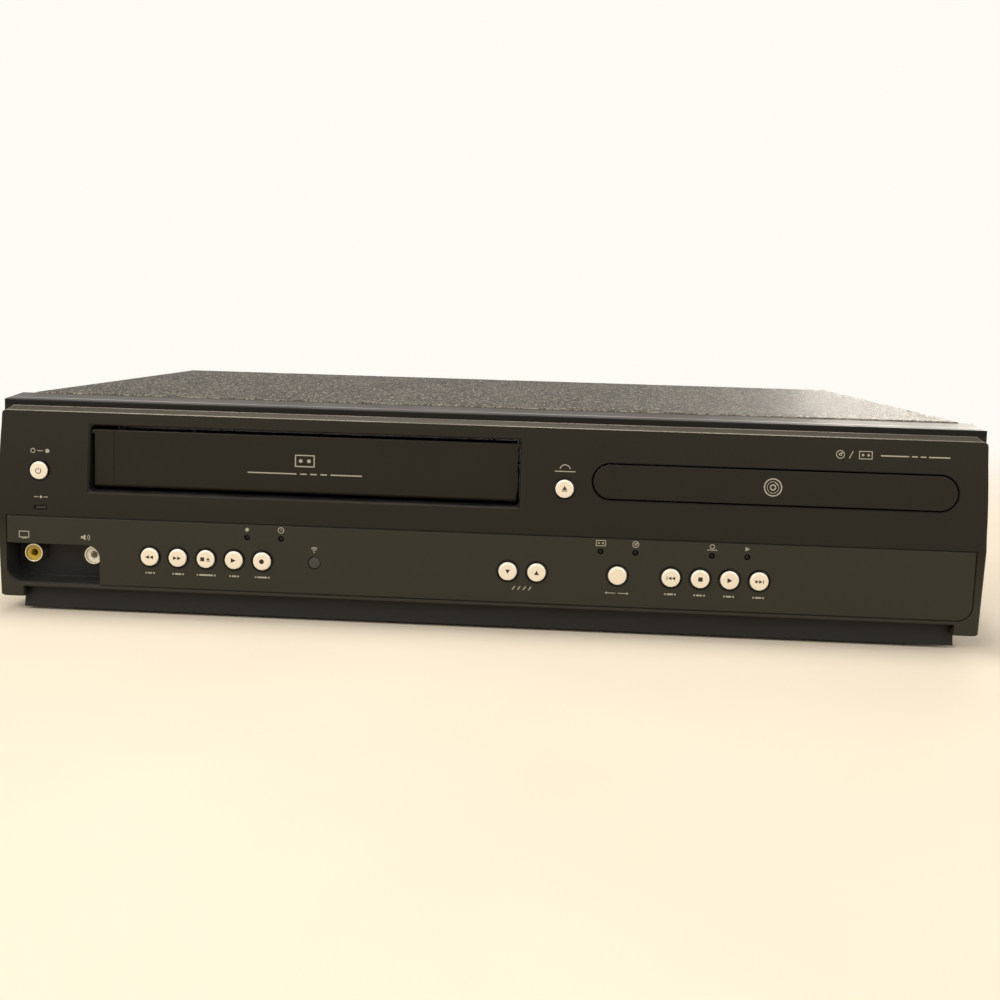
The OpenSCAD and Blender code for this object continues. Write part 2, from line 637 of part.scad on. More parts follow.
board_bosses = [[main_x[0] + 8, 60], [main_x[0] + 8, body_d - 25], [slot_right - 6.5, 60], [between_x, body_d - 25],
    [main_x[1] - 16, 60], [main_x[1] - 34, body_d - 16]];
foot_at = [for (x = [-half_w + foot_in, half_w - foot_in], y = [foot_front, body_d - foot_rear]) [x, y]];
module feet() color([0.06, 0.06, 0.06]) placed() for (p = foot_at) difference() {
    union() {
        rod_z(p[0], p[1], 0, floor_z, foot_d);
        rod_z(p[0], p[1], floor_z - eps, floor_top, 3.9);
        rod_z(p[0], p[1], floor_top, floor_top + 1.4, 6);
    }
    rod_z(p[0], p[1], -1, 1.2, foot_d - 7);
}
module screw(head = 6.6) {
    difference() {
        union() {
            cylinder(h = 2, d = head);
            translate([0, 0, -6]) cylinder(h = 6 + eps, d = 2.8);
        }
        for (a = [0, 90]) rotate(a) translate([-1.9, -0.4, 1]) cube([3.8, 0.8, 2]);
    }
}
module screws() color([0.2, 0.2, 0.2]) placed() {
    for (s = [-1, 1], y = cover_screw_y)
        translate([s * (cover_w / 2 + seat), y, cover_screw_z]) rotate([0, s * 90, 0]) screw();
    for (x = rear_screw_x) translate([x, body_d + cover_t + seat, cover_under - 3.6]) rotate([-90, 0, 0]) screw();
    for (s = [-1, 1], y = deck_screw_y)
        translate([slot_x + s * (deck_half - 4.5), y, deck_top + seat]) screw();
    for (s = [-1, 1], y = loader_leg_y)
        translate([tray_x + s * (loader_half - 7), y, loader_floor + loader_floor_t + seat]) screw();
}
deck_screw_y = [deck_front + 8, deck_back - 8];
loader_leg_y = [loader_front + 8, loader_back - 8];
module rear_panel() color([0.7, 0.7, 0.68]) placed() difference() {
    union() {
        box(-chassis_half, chassis_half, panel_y, body_d, floor_z, cover_under - 0.4);
        for (x = hook_x) box(x - 5, x + 5, panel_y, body_d, cover_under - 0.5, unit_h);
        // flange that lies on the chassis floor
        box(-chassis_half + 2, chassis_half - 2, panel_y - 8, panel_y + eps,
            floor_top + seat, floor_top + seat + chassis_t);
    }
    for (j = REAR_JACKS) rod_y(j[0], j[1], panel_y - 1, body_d + 1, jack_d + 1.4);
    for (z = aerial_z) rod_y(aerial_x, z, panel_y - 1, body_d + 1, 10.4);
    rod_y(svideo_at[0], svideo_at[1], panel_y - 1, body_d + 1, 11);
    rod_y(gland_x, gland_z, panel_y - 1, body_d + 1, 12);
    for (x = rear_screw_x) rod_y(x, cover_under - 3.6, panel_y - 1, body_d + 1, 3);
    for (i = [0:21]) along_y(panel_y - 1, body_d + 1) translate([tray_x - 67 + i * 5, 68]) stadium_up(2.4, 26);
    for (i = [0:15], z = [14, 19]) rod_y(slot_x - 20 + i * 9, z, panel_y - 1, body_d + 1, 3);
}
rear_x0 = aerial_x + 36;         // first column of phono jacks
group_gap = 26;
aerial_z = [34, 62];
// x and z of each jack: three by two, a row of three, another row of three, and a single one
REAR_JACKS = [
    for (c = [0:2], r = [0, 1]) [rear_x0 + c * jack_pitch, 38 + r * 22],
    for (c = [0:2]) [rear_x0 + 2 * jack_pitch + group_gap + c * jack_pitch, 38],
    for (c = [0:2]) [rear_x0 + 4 * jack_pitch + 2 * group_gap + c * jack_pitch, 38],
    [rear_x0 + 6 * jack_pitch + 3 * group_gap, 38]];
svideo_at = [rear_x0 + 6 * jack_pitch + 3 * group_gap, 60];

// ================= front pieces =================
module vcr_door() color([0.12, 0.115, 0.11]) placed() {
    x0 = slot_x - door_w / 2;
    x1 = slot_x + door_w / 2;
    difference() {
        along_x(x0, x1) polygon([[door_y + 0.2, door_high], [door_y + door_t, door_high],
            [door_y + door_t, door_low], [door_y + 0.5, door_low], [door_y, door_low + 1],
            [door_y, door_high - 0.3]]);
        // fold line near the left end
        box(x0 + 8.6, x0 + 9, door_y - 1, door_y + 0.25, door_low, door_high);
    }
    for (x = [x0 + 12, slot_x, x1 - 12]) box(x - 0.8, x + 0.8, door_y + door_t - eps, door_y + door_t + 1.4,
        door_low + 2, hinge_z - 3);
    rod_x(hinge_y, hinge_z, x0 - 1.4 - tunnel_wall - 6, x0 + eps, pin_d);
    rod_x(hinge_y, hinge_z, x1 - eps, x1 + 1.4 + tunnel_wall, pin_d);
}
spring_wire = 0.5;
module door_spring() color([0.75, 0.75, 0.75]) placed() {
    x1 = slot_left - tunnel_wall - seat;
    turns = 5;
    coil_r = pin_d / 2 + slip + spring_wire / 2;
    for (i = [0:turns - 1]) translate([x1 - spring_wire / 2 - i * spring_wire, hinge_y, hinge_z]) rotate([0, 90, 0])
        rotate_extrude() translate([coil_r, 0]) circle(d = spring_wire + eps, $fn = 16);
    rod_z(x1 - spring_wire / 2, hinge_y + coil_r, hinge_z - 7, hinge_z, spring_wire);
}
module button(b) color([0.9, 0.87, 0.8]) placed() {
    front = face(b[1]) - cap_proud;
    flange_y = face(b[1]) + seat_deep + seat;
    translate([b[0], front, b[1]]) rotate([-90, 0, 0]) {
        rotate_extrude() polygon([[0, 0], [cap_d / 2 - 0.7, 0], [cap_d / 2 - 0.2, 0.25], [cap_d / 2, 0.8],
            [cap_d / 2, flange_y - front], [flange_d / 2, flange_y - front],
            [flange_d / 2, flange_y - front + flange_t], [0, flange_y - front + flange_t]]);
        cylinder(h = plunger_y - front - cap_travel - 0.02, d = button_stem_d);
    }
}
module standby_button() { button(BUTTONS[0]); }
module open_close_button() { button(BUTTONS[1]); }
module rewind_button() { button(BUTTONS[2]); }
module forward_button() { button(BUTTONS[3]); }
module stop_eject_button() { button(BUTTONS[4]); }
module play_button() { button(BUTTONS[5]); }
module record_button() { button(BUTTONS[6]); }
module tracking_down_button() { button(BUTTONS[7]); }
module tracking_up_button() { button(BUTTONS[8]); }
module source_button() { button(BUTTONS[9]); }
module previous_button() { button(BUTTONS[10]); }
module disc_stop_button() { button(BUTTONS[11]); }
module disc_play_button() { button(BUTTONS[12]); }
module next_button() { button(BUTTONS[13]); }
module indicator_lenses() color([0.1, 0.08, 0.08]) placed() {
    for (l = LAMPS) translate([l[0], face(l[1]) + 0.5, l[1]]) rotate([-90, 0, 0]) rotate_extrude()
        polygon([[0, -0.15], [lamp_d * 0.3, 0], [lamp_d / 2, 0.4], [lamp_d / 2, board_y - face(l[1]) - 2.5],
            [0, board_y - face(l[1]) - 2.5]]);
    along_y(face(power_lamp_z) + 0.6, 4) stadium(power_lamp_x, power_lamp_z, power_lamp_w, power_lamp_h);
}
module ir_window() color([0.1, 0.08, 0.1]) placed() translate([ir_x, face(row_z), row_z]) rotate([-90, 0, 0])
    rotate_extrude() polygon(concat([for (i = [0:5]) [ir_d / 2 * sin(18 * i), 0.9 - 0.9 * cos(18 * i)]],
        [[ir_d / 2, lamp_boss_end - face(row_z) + seat], [ir_d / 2 + 1, lamp_boss_end - face(row_z) + seat],
         [ir_d / 2 + 1, board_y - face(row_z) - seat], [0, board_y - face(row_z) - seat]]));
module function_board() color([0.55, 0.4, 0.2]) placed() {
    difference() {
        along_y(board_y, board_y + board_t) {
            translate([strip_x[0], strip_z[0]]) square([strip_x[1] - strip_x[0], strip_z[1] - strip_z[0]]);
            translate([open_x - 12, strip_z[1] - 1]) square([22, open_z + 8 - strip_z[1]]);
        }
        for (x = board_post_x) rod_y(x, 20, board_y - 1, board_y + board_t + 1, 2.4);
    }
    // small board behind the standby button
    along_y(board_y, board_y + board_t) translate([standby_x - 12, power_lamp_z - 4]) square([23, 28]);
    for (b = BUTTONS) {
        box(b[0] - switch_w / 2, b[0] + switch_w / 2, board_y - switch_t, board_y + eps,
            b[1] - switch_w / 2, b[1] + switch_w / 2);
        rod_y(b[0], b[1], plunger_y, board_y - switch_t + eps, plunger_d);
    }
}
module jack_sleeves() color([0.8, 0.75, 0.6]) placed() {
    for (x = front_jacks_x) tube_y(x, front_jack_z, recess_back + recess_wall - jack_len, recess_back + recess_wall,
        jack_d, jack_d - 1);
    for (j = REAR_JACKS) tube_y(j[0], j[1], body_d, body_d + jack_len, jack_d, jack_d - 1);
    for (z = aerial_z) tube_y(aerial_x, z, body_d, body_d + aerial_len, 9.5, 7.5);
    tube_y(svideo_at[0], svideo_at[1], body_d, body_d + 3, 10, 9);
}
module tube_y(x, z, y0, y1, d, bore) {
    difference() {
        rod_y(x, z, y0, y1, d);
        rod_y(x, z, y0 - 1, y1 + 1, bore);
    }
}
module jack_rings() color([0.9, 0.8, 0.2]) placed() {
    ring_d = jack_d - 1 - 2 * seat;
    for (x = front_jacks_x) tube_y(x, front_jack_z, recess_back + recess_wall - jack_len + 0.8,
        recess_back + recess_wall, ring_d, 3.3);
    for (j = REAR_JACKS) tube_y(j[0], j[1], body_d, body_d + jack_len - 0.8, ring_d, 3.3);
    for (z = aerial_z) tube_y(aerial_x, z, body_d, body_d + aerial_len - 1, 7.5 - 2 * seat, 1.2);
    tube_y(svideo_at[0], svideo_at[1], body_d, body_d + 2.2, 9 - 2 * seat, 1.5);
}
module jack_blocks() color([0.08, 0.08, 0.08]) placed() {
    back = recess_back + recess_wall;
    box(front_jacks_x[0] - 5, front_jacks_x[1] + 7, back + seat, back + 9, front_jack_z - 7, front_jack_z + 7);
    for (x = front_jacks_x)
        tube_y(x, front_jack_z, recess_back + 0.2, back + seat + eps, jack_d + 1.2, jack_d + 2 * seat);
    depth = 12;
    x0 = rear_x0 - 7;
    box(x0, x0 + 3 * jack_pitch, panel_y - depth, panel_y - seat, 30, 68);
    for (g = [1, 2]) {
        gx = rear_x0 + (g * 2) * jack_pitch + g * group_gap - 7;
        box(gx, gx + 3 * jack_pitch, panel_y - depth, panel_y - seat, 30, 46);
    }
    box(svideo_at[0] - 8, svideo_at[0] + 8, panel_y - depth, panel_y - seat, 30, 68);
    box(aerial_x - 10, aerial_x + 10, panel_y - 30, panel_y - seat, 26, 70);
    for (j = REAR_JACKS) tube_y(j[0], j[1], panel_y - seat - eps, body_d, jack_d + 1.2, 3.3);
    for (z = aerial_z) tube_y(aerial_x, z, panel_y - seat - eps, body_d, 10, 1.2);
    tube_y(svideo_at[0], svideo_at[1], panel_y - seat - eps, body_d, 10.8, 1.5);
}

// ================= cassette deck =================
module slot_2d(x, y0, y1, w) {
    translate([x - w / 2, y0]) square([w, y1 - y0]);
    for (y = [y0, y1]) translate([x, y]) circle(d = w);
}
module deck_chassis() color([0.75, 0.75, 0.72]) placed() difference() {
    union() {
        box(slot_x - deck_half, slot_x + deck_half, deck_front, deck_back, deck_z, deck_top);
        // legs at the corners, with turned feet on the chassis floor
        for (s = [-1, 1], y = [deck_front, deck_back - 12]) {
            box(slot_x + s * (deck_half - 0.6) - 0.6, slot_x + s * (deck_half - 0.6) + 0.6, y, y + 12,
                floor_top + seat, deck_z + eps);
            box(slot_x + s * (deck_half - 4.5) - 5, slot_x + s * (deck_half - 4.5) + 5, y, y + 12,
                floor_top + seat, floor_top + seat + 1.2);
        }
        for (s = [-1, 1]) rod_z(slot_x + s * reel_half, reel_y, deck_top - eps, deck_top + 6, reel_shaft_d);
        rod_z(capstan_x, capstan_y, deck_z - 3, deck_top + 6, 9);
        rod_z(pinch_pivot[0], pinch_pivot[1], deck_top - eps, deck_top + 12, 3);
        rod_z(cam_at[0], cam_at[1], deck_top - eps, deck_top + 6, 3);
    }
    rod_z(capstan_x, capstan_y, deck_z - 4, deck_top + 7, capstan_d + 2 * run);
    for (s = [-1, 1]) translate([0, 0, deck_z - 1]) linear_extrude(4)
        slot_2d(slot_x + s * guide_x, guide_y, guide_y + guide_travel, 6);
    rod_z(slot_x, drum_y, deck_z - 1, deck_top + 1, 24);
    for (s = [-1, 1], y = deck_screw_y) rod_z(slot_x + s * (deck_half - 4.5), y, deck_z - 1, deck_top + 1, 3);
    box(slot_x - 30, slot_x + 30, deck_front + 8, deck_front + 24, deck_z - 1, deck_top + 1);
}
module side_brackets() color([0.78, 0.78, 0.76]) placed() {
    front = cage_y - 2;
    back = cage_y + cage_pins[1] + cage_travel + 10;
    for (s = [-1, 1]) translate([slot_x, 0, 0]) mirror([s < 0 ? 1 : 0, 0, 0]) difference() {
        union() {
            box(bracket_half, bracket_half + bracket_t, front, back, deck_top + seat, bracket_top);
            box(bracket_half - 5.4, bracket_half + eps, front, back, deck_top + seat, deck_top + seat + bracket_t);
            box(bracket_half - 4, bracket_half + bracket_t, front, front + 16,
                bracket_top - bracket_t, bracket_top);
        }
        // guide slot for the cage's pins with the two drops at its inner end
        along_x(bracket_half - 1, bracket_half + bracket_t + 1) union() {
            translate([cage_y + cage_pins[0], cage_pin_z - cage_pin_d / 2 - slip])
                square([cage_pins[1] - cage_pins[0] + cage_travel, cage_pin_d + 2 * slip]);
            for (y = [cage_pins[0], cage_pins[1] + cage_travel])
                translate([cage_y + y, cage_pin_z]) circle(d = cage_pin_d + 2 * slip);
            for (p = cage_pins) translate([cage_y + p + cage_travel, 0]) {
                translate([-cage_pin_d / 2 - slip, cage_pin_z - tape_drop])
                    square([cage_pin_d + 2 * slip, tape_drop]);
                translate([0, cage_pin_z - tape_drop]) circle(d = cage_pin_d + 2 * slip);
            }
        }
        // lightening windows
        for (y = [front + 10, front + 40]) box(bracket_half - 1, bracket_half + bracket_t + 1, y, y + 20, 34, 52);
    }
}
module cassette_cage() color([0.8, 0.8, 0.78]) placed() translate([slot_x, cage_y, 0]) {
    for (s = [-1, 1]) mirror([s < 0 ? 1 : 0, 0, 0]) {
        box(cage_half, cage_half + sheet, 0, cage_d, cage_floor - sheet, cage_top);
        box(cage_half - 20, cage_half + eps, 0, cage_d, cage_floor - sheet, cage_floor);
        // lip that leads the cassette in
        along_x(cage_half - 20, cage_half) polygon([[0, cage_floor], [0, cage_floor - sheet],
            [-2, cage_floor - sheet - 1.2], [-2, cage_floor - 1.2]]);
        box(cage_half - 16, cage_half + eps, cage_d - sheet, cage_d, cage_floor - eps, tape_z + 8);
        for (p = cage_pins) rod_x(p, cage_pin_z, cage_half + sheet - eps, bracket_half + bracket_t + 1, cage_pin_d);
    }
    difference() {
        box(-cage_half - eps, cage_half + eps, 0, cage_d, cage_top - sheet, cage_top);
        for (s = [-1, 1]) translate([s * 45, 0, 0]) {
            box(-9, -7, 12, 40, cage_top - 2, cage_top + 1);
            box(7, 9, 12, 40, cage_top - 2, cage_top + 1);
            box(-9, 9, 10, 12, cage_top - 2, cage_top + 1);
        }
        box(-22, 22, 14, 38, cage_top - 2, cage_top + 1);
    }
}
module reel(x) color([0.85, 0.85, 0.82]) placed() translate([x, reel_y, deck_top + slip]) difference() {
    union() {
        cylinder(h = 3, d = reel_d);
        cylinder(h = 6.6, d = reel_d - 6);
        cylinder(h = 15, d = 13);
        translate([0, 0, 15 - eps]) rotate_extrude() polygon([[0, 0], [6.5, 0], [3, 5], [0, 5]]);
        for (a = [0, 120, 240]) rotate(a) translate([0, -1, 6]) cube([8.6, 2, 9]);
    }
    translate([0, 0, -1]) cylinder(h = 8, d = reel_shaft_d + 2 * run);
    for (a = [0:30:330]) rotate(a) translate([reel_d / 2 - 1.6, 0, -1]) cylinder(h = 5, d = 1.4);
}
module supply_reel() { reel(slot_x - reel_half); }
module takeup_reel() { reel(slot_x + reel_half); }
module on_drum_axis() { translate([slot_x, drum_y, deck_top]) rotate([-drum_tilt, 0, 0]) children(); }
module lower_drum() color([0.8, 0.8, 0.82]) placed() difference() {
    on_drum_axis() difference() {
        union() {
            translate([0, 0, 3]) cylinder(h = drum_split - 3, d = drum_d);
            translate([0, 0, -4]) cylinder(h = 8, d = drum_d + 1);
        }
        translate([0, 0, drum_split - 6]) cylinder(h = 8, d = drum_d - 12);
        translate([0, 0, -8]) cylinder(h = 30, d = 6 + 2 * run);
    }
    translate([slot_x, drum_y, deck_top + seat - 20]) cube([100, 100, 40], center = true);
}
module upper_drum() color([0.85, 0.85, 0.87]) placed() on_drum_axis() difference() {
    union() {
        translate([0, 0, drum_split + slip]) cylinder(h = drum_high - drum_split - slip, d = drum_d);
        translate([0, 0, 4]) cylinder(h = drum_split + 2, d = 6);
        translate([0, 0, drum_high - eps]) cylinder(h = 2, d = 16);
    }
    translate([0, 0, drum_high - 3]) difference() {
        cylinder(h = 4, d = drum_d - 12);
        translate([0, 0, -1]) cylinder(h = 6, d = 22);
    }
    for (a = [0:90:270]) rotate(a) translate([drum_d / 2 - 1, -2, drum_split]) cube([3, 4, 2.4]);
    for (a = [45:90:315]) rotate(a) translate([8, 0, drum_high - 2]) cylinder(h = 8, d = 2.6);
}
module capstan() color([0.7, 0.7, 0.72]) placed() {
    rod_z(capstan_x, capstan_y, deck_z - 11, deck_top + 30, capstan_d);
    difference() {
        rod_z(capstan_x, capstan_y, deck_z - 11, deck_z - 3 - slip, rotor_d);
        translate([capstan_x, capstan_y, deck_z - 7]) difference() {
            cylinder(h = 8, d = rotor_d - 6);
            translate([0, 0, -1]) cylinder(h = 10, d = 18);
        }
    }
}
module pinch_arm() color([0.75, 0.75, 0.73]) placed() {
    z0 = deck_top + 7;
    dir = atan2(pinch_at[1] - pinch_pivot[1], pinch_at[0] - pinch_pivot[0]);
    len = norm(pinch_at - pinch_pivot);
    difference() {
        union() {
            translate([pinch_pivot[0], pinch_pivot[1], z0]) rotate(dir) translate([0, -2.5, 0]) cube([len, 5, 1.2]);
            rod_z(pinch_at[0], pinch_at[1], z0, z0 + 1.2, 7);
            rod_z(pinch_pivot[0], pinch_pivot[1], z0 - 2, z0 + 4, 7);
        }
        rod_z(pinch_pivot[0], pinch_pivot[1], z0 - 3, z0 + 5, 3 + 2 * run);
    }
    rod_z(pinch_at[0], pinch_at[1], z0 + 1, z0 + 20, 2.4);
}
module pinch_roller() color([0.08, 0.08, 0.08]) placed() difference() {
    rod_z(pinch_at[0], pinch_at[1], deck_top + 7 + 1.2 + slip, deck_top + 7 + 18.5, pinch_d);
    rod_z(pinch_at[0], pinch_at[1], deck_top + 6, deck_top + 30, 2.4 + 2 * run);
}
module tape_guides() color([0.8, 0.75, 0.6]) placed() for (s = [-1, 1])
    translate([slot_x + s * guide_x, guide_y, 0]) guide_post();
module guide_post() {
    rod_z(0, 0, deck_z - 2, deck_top + 2, 5.4);
    box(-6, 6, -7, 9, deck_z - 3.2, deck_z - slip);
    box(-5.5, 5.5, -5, 8, deck_top + slip, deck_top + 3.5);
    rod_z(0, 0, deck_top + 3, deck_top + 24, 3);
    rod_z(0, 0, deck_top + 9, deck_top + 22, 6);
    rod_z(0, 0, deck_top + 22, deck_top + 25, 8);
    translate([0, 6, deck_top + 3]) rotate([-10, 0, 0]) cylinder(h = 18, d = 2);
}
head_side = 54;                  // heads from the middle of the deck
module tape_heads() color([0.7, 0.68, 0.65]) placed() {
    // full erase head, audio and control head, each on its own bracket
    for (h = [[-head_side, 6], [head_side, 15]]) translate([slot_x + h[0], capstan_y + h[1], 0]) {
        box(-6, 6, -5, 7, deck_top + seat, deck_top + 2.4);
        box(-5, 5, -2, 6, deck_top + 2, deck_top + 24);
        translate([0, -2, deck_top + 2]) intersection() {
            cylinder(h = 21, d = 9);
            translate([-4.5, -5, 0]) cube([9, 5 + eps, 22]);
        }
    }
}
module cam_gear() color([0.9, 0.9, 0.86]) placed() difference() {
    union() {
        gear(cam_at, deck_top + slip, deck_top + 3.4, cam_teeth, cam_m, 0, 3 + 2 * run);
        translate([cam_at[0], cam_at[1], deck_top + 3.3]) difference() {
            cylinder(h = 1.6, d = 32);
            translate([0, 0, -1]) cylinder(h = 6, d = 8);
        }
    }
    translate([cam_at[0], cam_at[1], deck_top + 2.6]) difference() {
        cylinder(h = 6, d = 26);
        translate([0, 0, -1]) cylinder(h = 8, d = 20);
    }
}
pinion_at = [cam_at[0], cam_at[1] - cam_m * (cam_teeth + pinion_teeth) / 2];
module loading_pinion() color([0.9, 0.88, 0.8]) placed()
    gear(pinion_at, deck_top + slip, deck_top + 5, pinion_teeth, cam_m, 90 + 180 / pinion_teeth, 2 + 2 * run);

// ================= disc loader =================
module dvd_tray() color([0.1, 0.1, 0.1]) placed() difference() {
    union() {
        translate([0, 0, tray_under]) linear_extrude(tray_top - tray_under)
            rounded(tray_x - tray_w / 2, tray_x + tray_w / 2, tray_front_y, tray_back, 4);
        // rails under both edges
        for (s = [-1, 1]) translate([tray_x, 0, 0]) mirror([s < 0 ? 1 : 0, 0, 0])
            box(tray_w / 2 - 3, tray_w / 2, tray_front_y + 4, tray_back - 4, rail_low, tray_under + eps);
        rack();
        box(tray_x - 60, tray_x + 60, tray_front_y, tray_front_y + 3, rail_low, tray_under + eps);
    }
    translate([tray_x, disc_y, tray_floor]) cylinder(h = 10, d = disc_well_d);
    translate([tray_x, disc_y, tray_floor - 0.9]) cylinder(h = 10, d = 81.5);
    // slot for the turntable and the pickup
    translate([0, 0, tray_under - 1]) linear_extrude(10) rounded(tray_x - 23, tray_x + 23, disc_y - 21,
        disc_y + disc_well_d / 2 + 2, 6);
    // finger notches beside the disc
    for (s = [-1, 1]) translate([tray_x + s * disc_well_d / 2, disc_y, tray_floor]) cylinder(h = 10, d = 16);
}
module rack() {
    pitch = PI * rack_m;
    x0 = rack_face - 1.15 * rack_m;
    x1 = rack_face + 0.85 * rack_m;
    y0 = gear_at[1] + pitch / 2 - pitch * floor((gear_at[1] - tray_front_y - 5) / pitch);
    count = floor((tray_back - 4 - y0) / pitch);
    play = 0.1;
    translate([0, 0, rail_low + 0.4]) linear_extrude(tray_under - rail_low - 0.4 + eps) {
        translate([x0 - 2.4, y0 - pitch / 2]) square([2.4, pitch * count]);
        for (i = [0:count - 1]) translate([0, y0 + i * pitch]) polygon([
            [x0 - eps, -pitch / 4 - 0.42 * rack_m + play], [x1, -pitch / 4 + 0.31 * rack_m + play],
            [x1, pitch / 4 - 0.31 * rack_m - play], [x0 - eps, pitch / 4 + 0.42 * rack_m - play]]);
    }
}
module tray_front() color([0.13, 0.125, 0.12]) placed() {
    front_w = tray_open_w - 2 * tray_gap;
    front_h = tray_open_h - 2 * tray_gap;
    intersection() {
        along_y(-crease_out - 1, tray_front_y + 1) stadium(tray_x, tray_z, front_w, front_h);
        face_strip(tray_x - tray_open_w, tray_x + tray_open_w, tray_z - 10, tray_z + 10, 0, 2.4);
    }
    box(tray_x - 55, tray_x + 55, face(tray_z) + 2, tray_front_y - seat, rail_low + 1, tray_top - 1.5);
}
module tray_gear() color([0.92, 0.92, 0.88]) placed() {
    gear(gear_at, rail_low + 0.6, tray_under - 0.6, gear_teeth, rack_m, 0, axle_d + 2 * run);
    gear(gear_at, rail_low - 3.6, rail_low + 0.1, big_teeth, train_m, 0, axle_d + 2 * run);
    translate([gear_at[0], gear_at[1], rail_low]) difference() {
        cylinder(h = 0.7, d = 2 * gear_r - 3);
        translate([0, 0, -1]) cylinder(h = 3, d = axle_d + 2 * run);
    }
}
module pulley(at, d, z0, z1, bore) {
    translate([at[0], at[1], z0]) difference() {
        cylinder(h = z1 - z0, d = d + 2);
        translate([0, 0, (z1 - z0) / 2 - 1]) difference() {
            cylinder(h = 2, d = d + 4);
            translate([0, 0, -1]) cylinder(h = 4, d = d - 2 * slip);
        }
        translate([0, 0, -1]) cylinder(h = z1 - z0 + 2, d = bore);
    }
}
module pulley_gear() color([0.9, 0.9, 0.86]) placed() {
    gear(pulley_at, belt_z + 2 - eps, rail_low + 0.1, small_teeth, train_m, 180 / small_teeth, axle_d + 2 * run);
    pulley(pulley_at, pulley_d, belt_z - 2, belt_z + 2, axle_d + 2 * run);
}
module motor_pulley() color([0.8, 0.75, 0.5]) placed() {
    pulley(motor_at, motor_pulley_d, belt_z - 2, belt_z + 2, 2 + 2 * run);
}
module tray_belt() color([0.05, 0.05, 0.05]) placed() translate([0, 0, belt_z - belt_t / 2]) linear_extrude(belt_t)
    difference() {
        loop_2d(pulley_at, motor_at, pulley_d, motor_pulley_d, belt_t);
        loop_2d(pulley_at, motor_at, pulley_d, motor_pulley_d, 0);
    }
module drive_motors() color([0.7, 0.7, 0.7]) placed() {
    // motor of the tray, hung under the loader's floor
    rod_z(motor_at[0], motor_at[1], loader_floor - 22, loader_floor - seat, motor_d);
    rod_z(motor_at[0], motor_at[1], loader_floor - 0.1, belt_z + 2.5, 2);
    // motor of the tape loading, standing on two legs over its pinion
    rod_z(pinion_at[0], pinion_at[1], deck_top + 7, deck_top + 30, motor_d);
    rod_z(pinion_at[0], pinion_at[1], deck_top + 30 - eps, deck_top + 32, 8);
    rod_z(pinion_at[0], pinion_at[1], deck_top + 0.2, deck_top + 7.1, 2);
    for (s = [-1, 1]) translate([pinion_at[0] + s * 9.4, pinion_at[1], 0])
        box(-1, 1, -6, 1, deck_top + seat, deck_top + 9);
}
module loader_frame() color([0.15, 0.15, 0.15]) placed() difference() {
    union() {
        box(tray_x - loader_half, tray_x + loader_half, loader_front, loader_back, loader_floor,
            loader_floor + loader_floor_t);
        for (s = [-1, 1]) translate([tray_x, 0, 0]) mirror([s < 0 ? 1 : 0, 0, 0]) {
            box(loader_half - loader_wall, loader_half, loader_front, loader_back, loader_floor, loader_top);
            // ledge under the rail and lips over the tray edge
            box(tray_w / 2 - 3.2, loader_half - loader_wall + eps, loader_front, loader_back,
                rail_low - slip - 2.4, rail_low - slip);
            for (y = [loader_front + 10, 60, 110]) box(tray_w / 2 - 3, loader_half, y, y + 14,
                tray_top + slip, tray_top + slip + 1.8);
            // rib with the bearing of the traverse
            box(deck_half_w + 3, deck_half_w + 6, lift_pin_y - 8, loader_back, loader_floor, lift_pin_z + 5);
            for (y = loader_leg_y) translate([loader_half - 7, y, 0]) leg();
        }
        rod_z(gear_at[0], gear_at[1], loader_floor, tray_under - slip, axle_d);
        rod_z(gear_at[0], gear_at[1], loader_floor, rail_low - 3.6 - slip, 7);
        rod_z(pulley_at[0], pulley_at[1], loader_floor, rail_low, axle_d);
        box(tray_x - loader_half, tray_x + loader_half, loader_back - loader_wall, loader_back,
            loader_floor, rail_low);
    }
    // well for the traverse
    translate([0, 0, loader_floor - 1]) linear_extrude(loader_floor_t + 2)
        rounded(tray_x - deck_half_w - 2.6, tray_x + deck_half_w + 2.6, disc_y - 30, lift_pin_y + 14, 5);
    rod_x(lift_pin_y, lift_pin_z, tray_x - deck_half_w - 7, tray_x + deck_half_w + 7, 3 + 2 * run);
    rod_z(motor_at[0], motor_at[1], loader_floor - 1, loader_floor + 4, 7);
    for (s = [-1, 1], y = loader_leg_y)
        rod_z(tray_x + s * (loader_half - 7), y, loader_floor - 6, loader_floor + 4, 3);
}
module leg() {
    translate([0, 0, floor_top + seat]) difference() {
        cylinder(h = loader_floor - floor_top, d = 8);
        translate([0, 0, -1]) cylinder(h = 14, d = 4);
    }
}
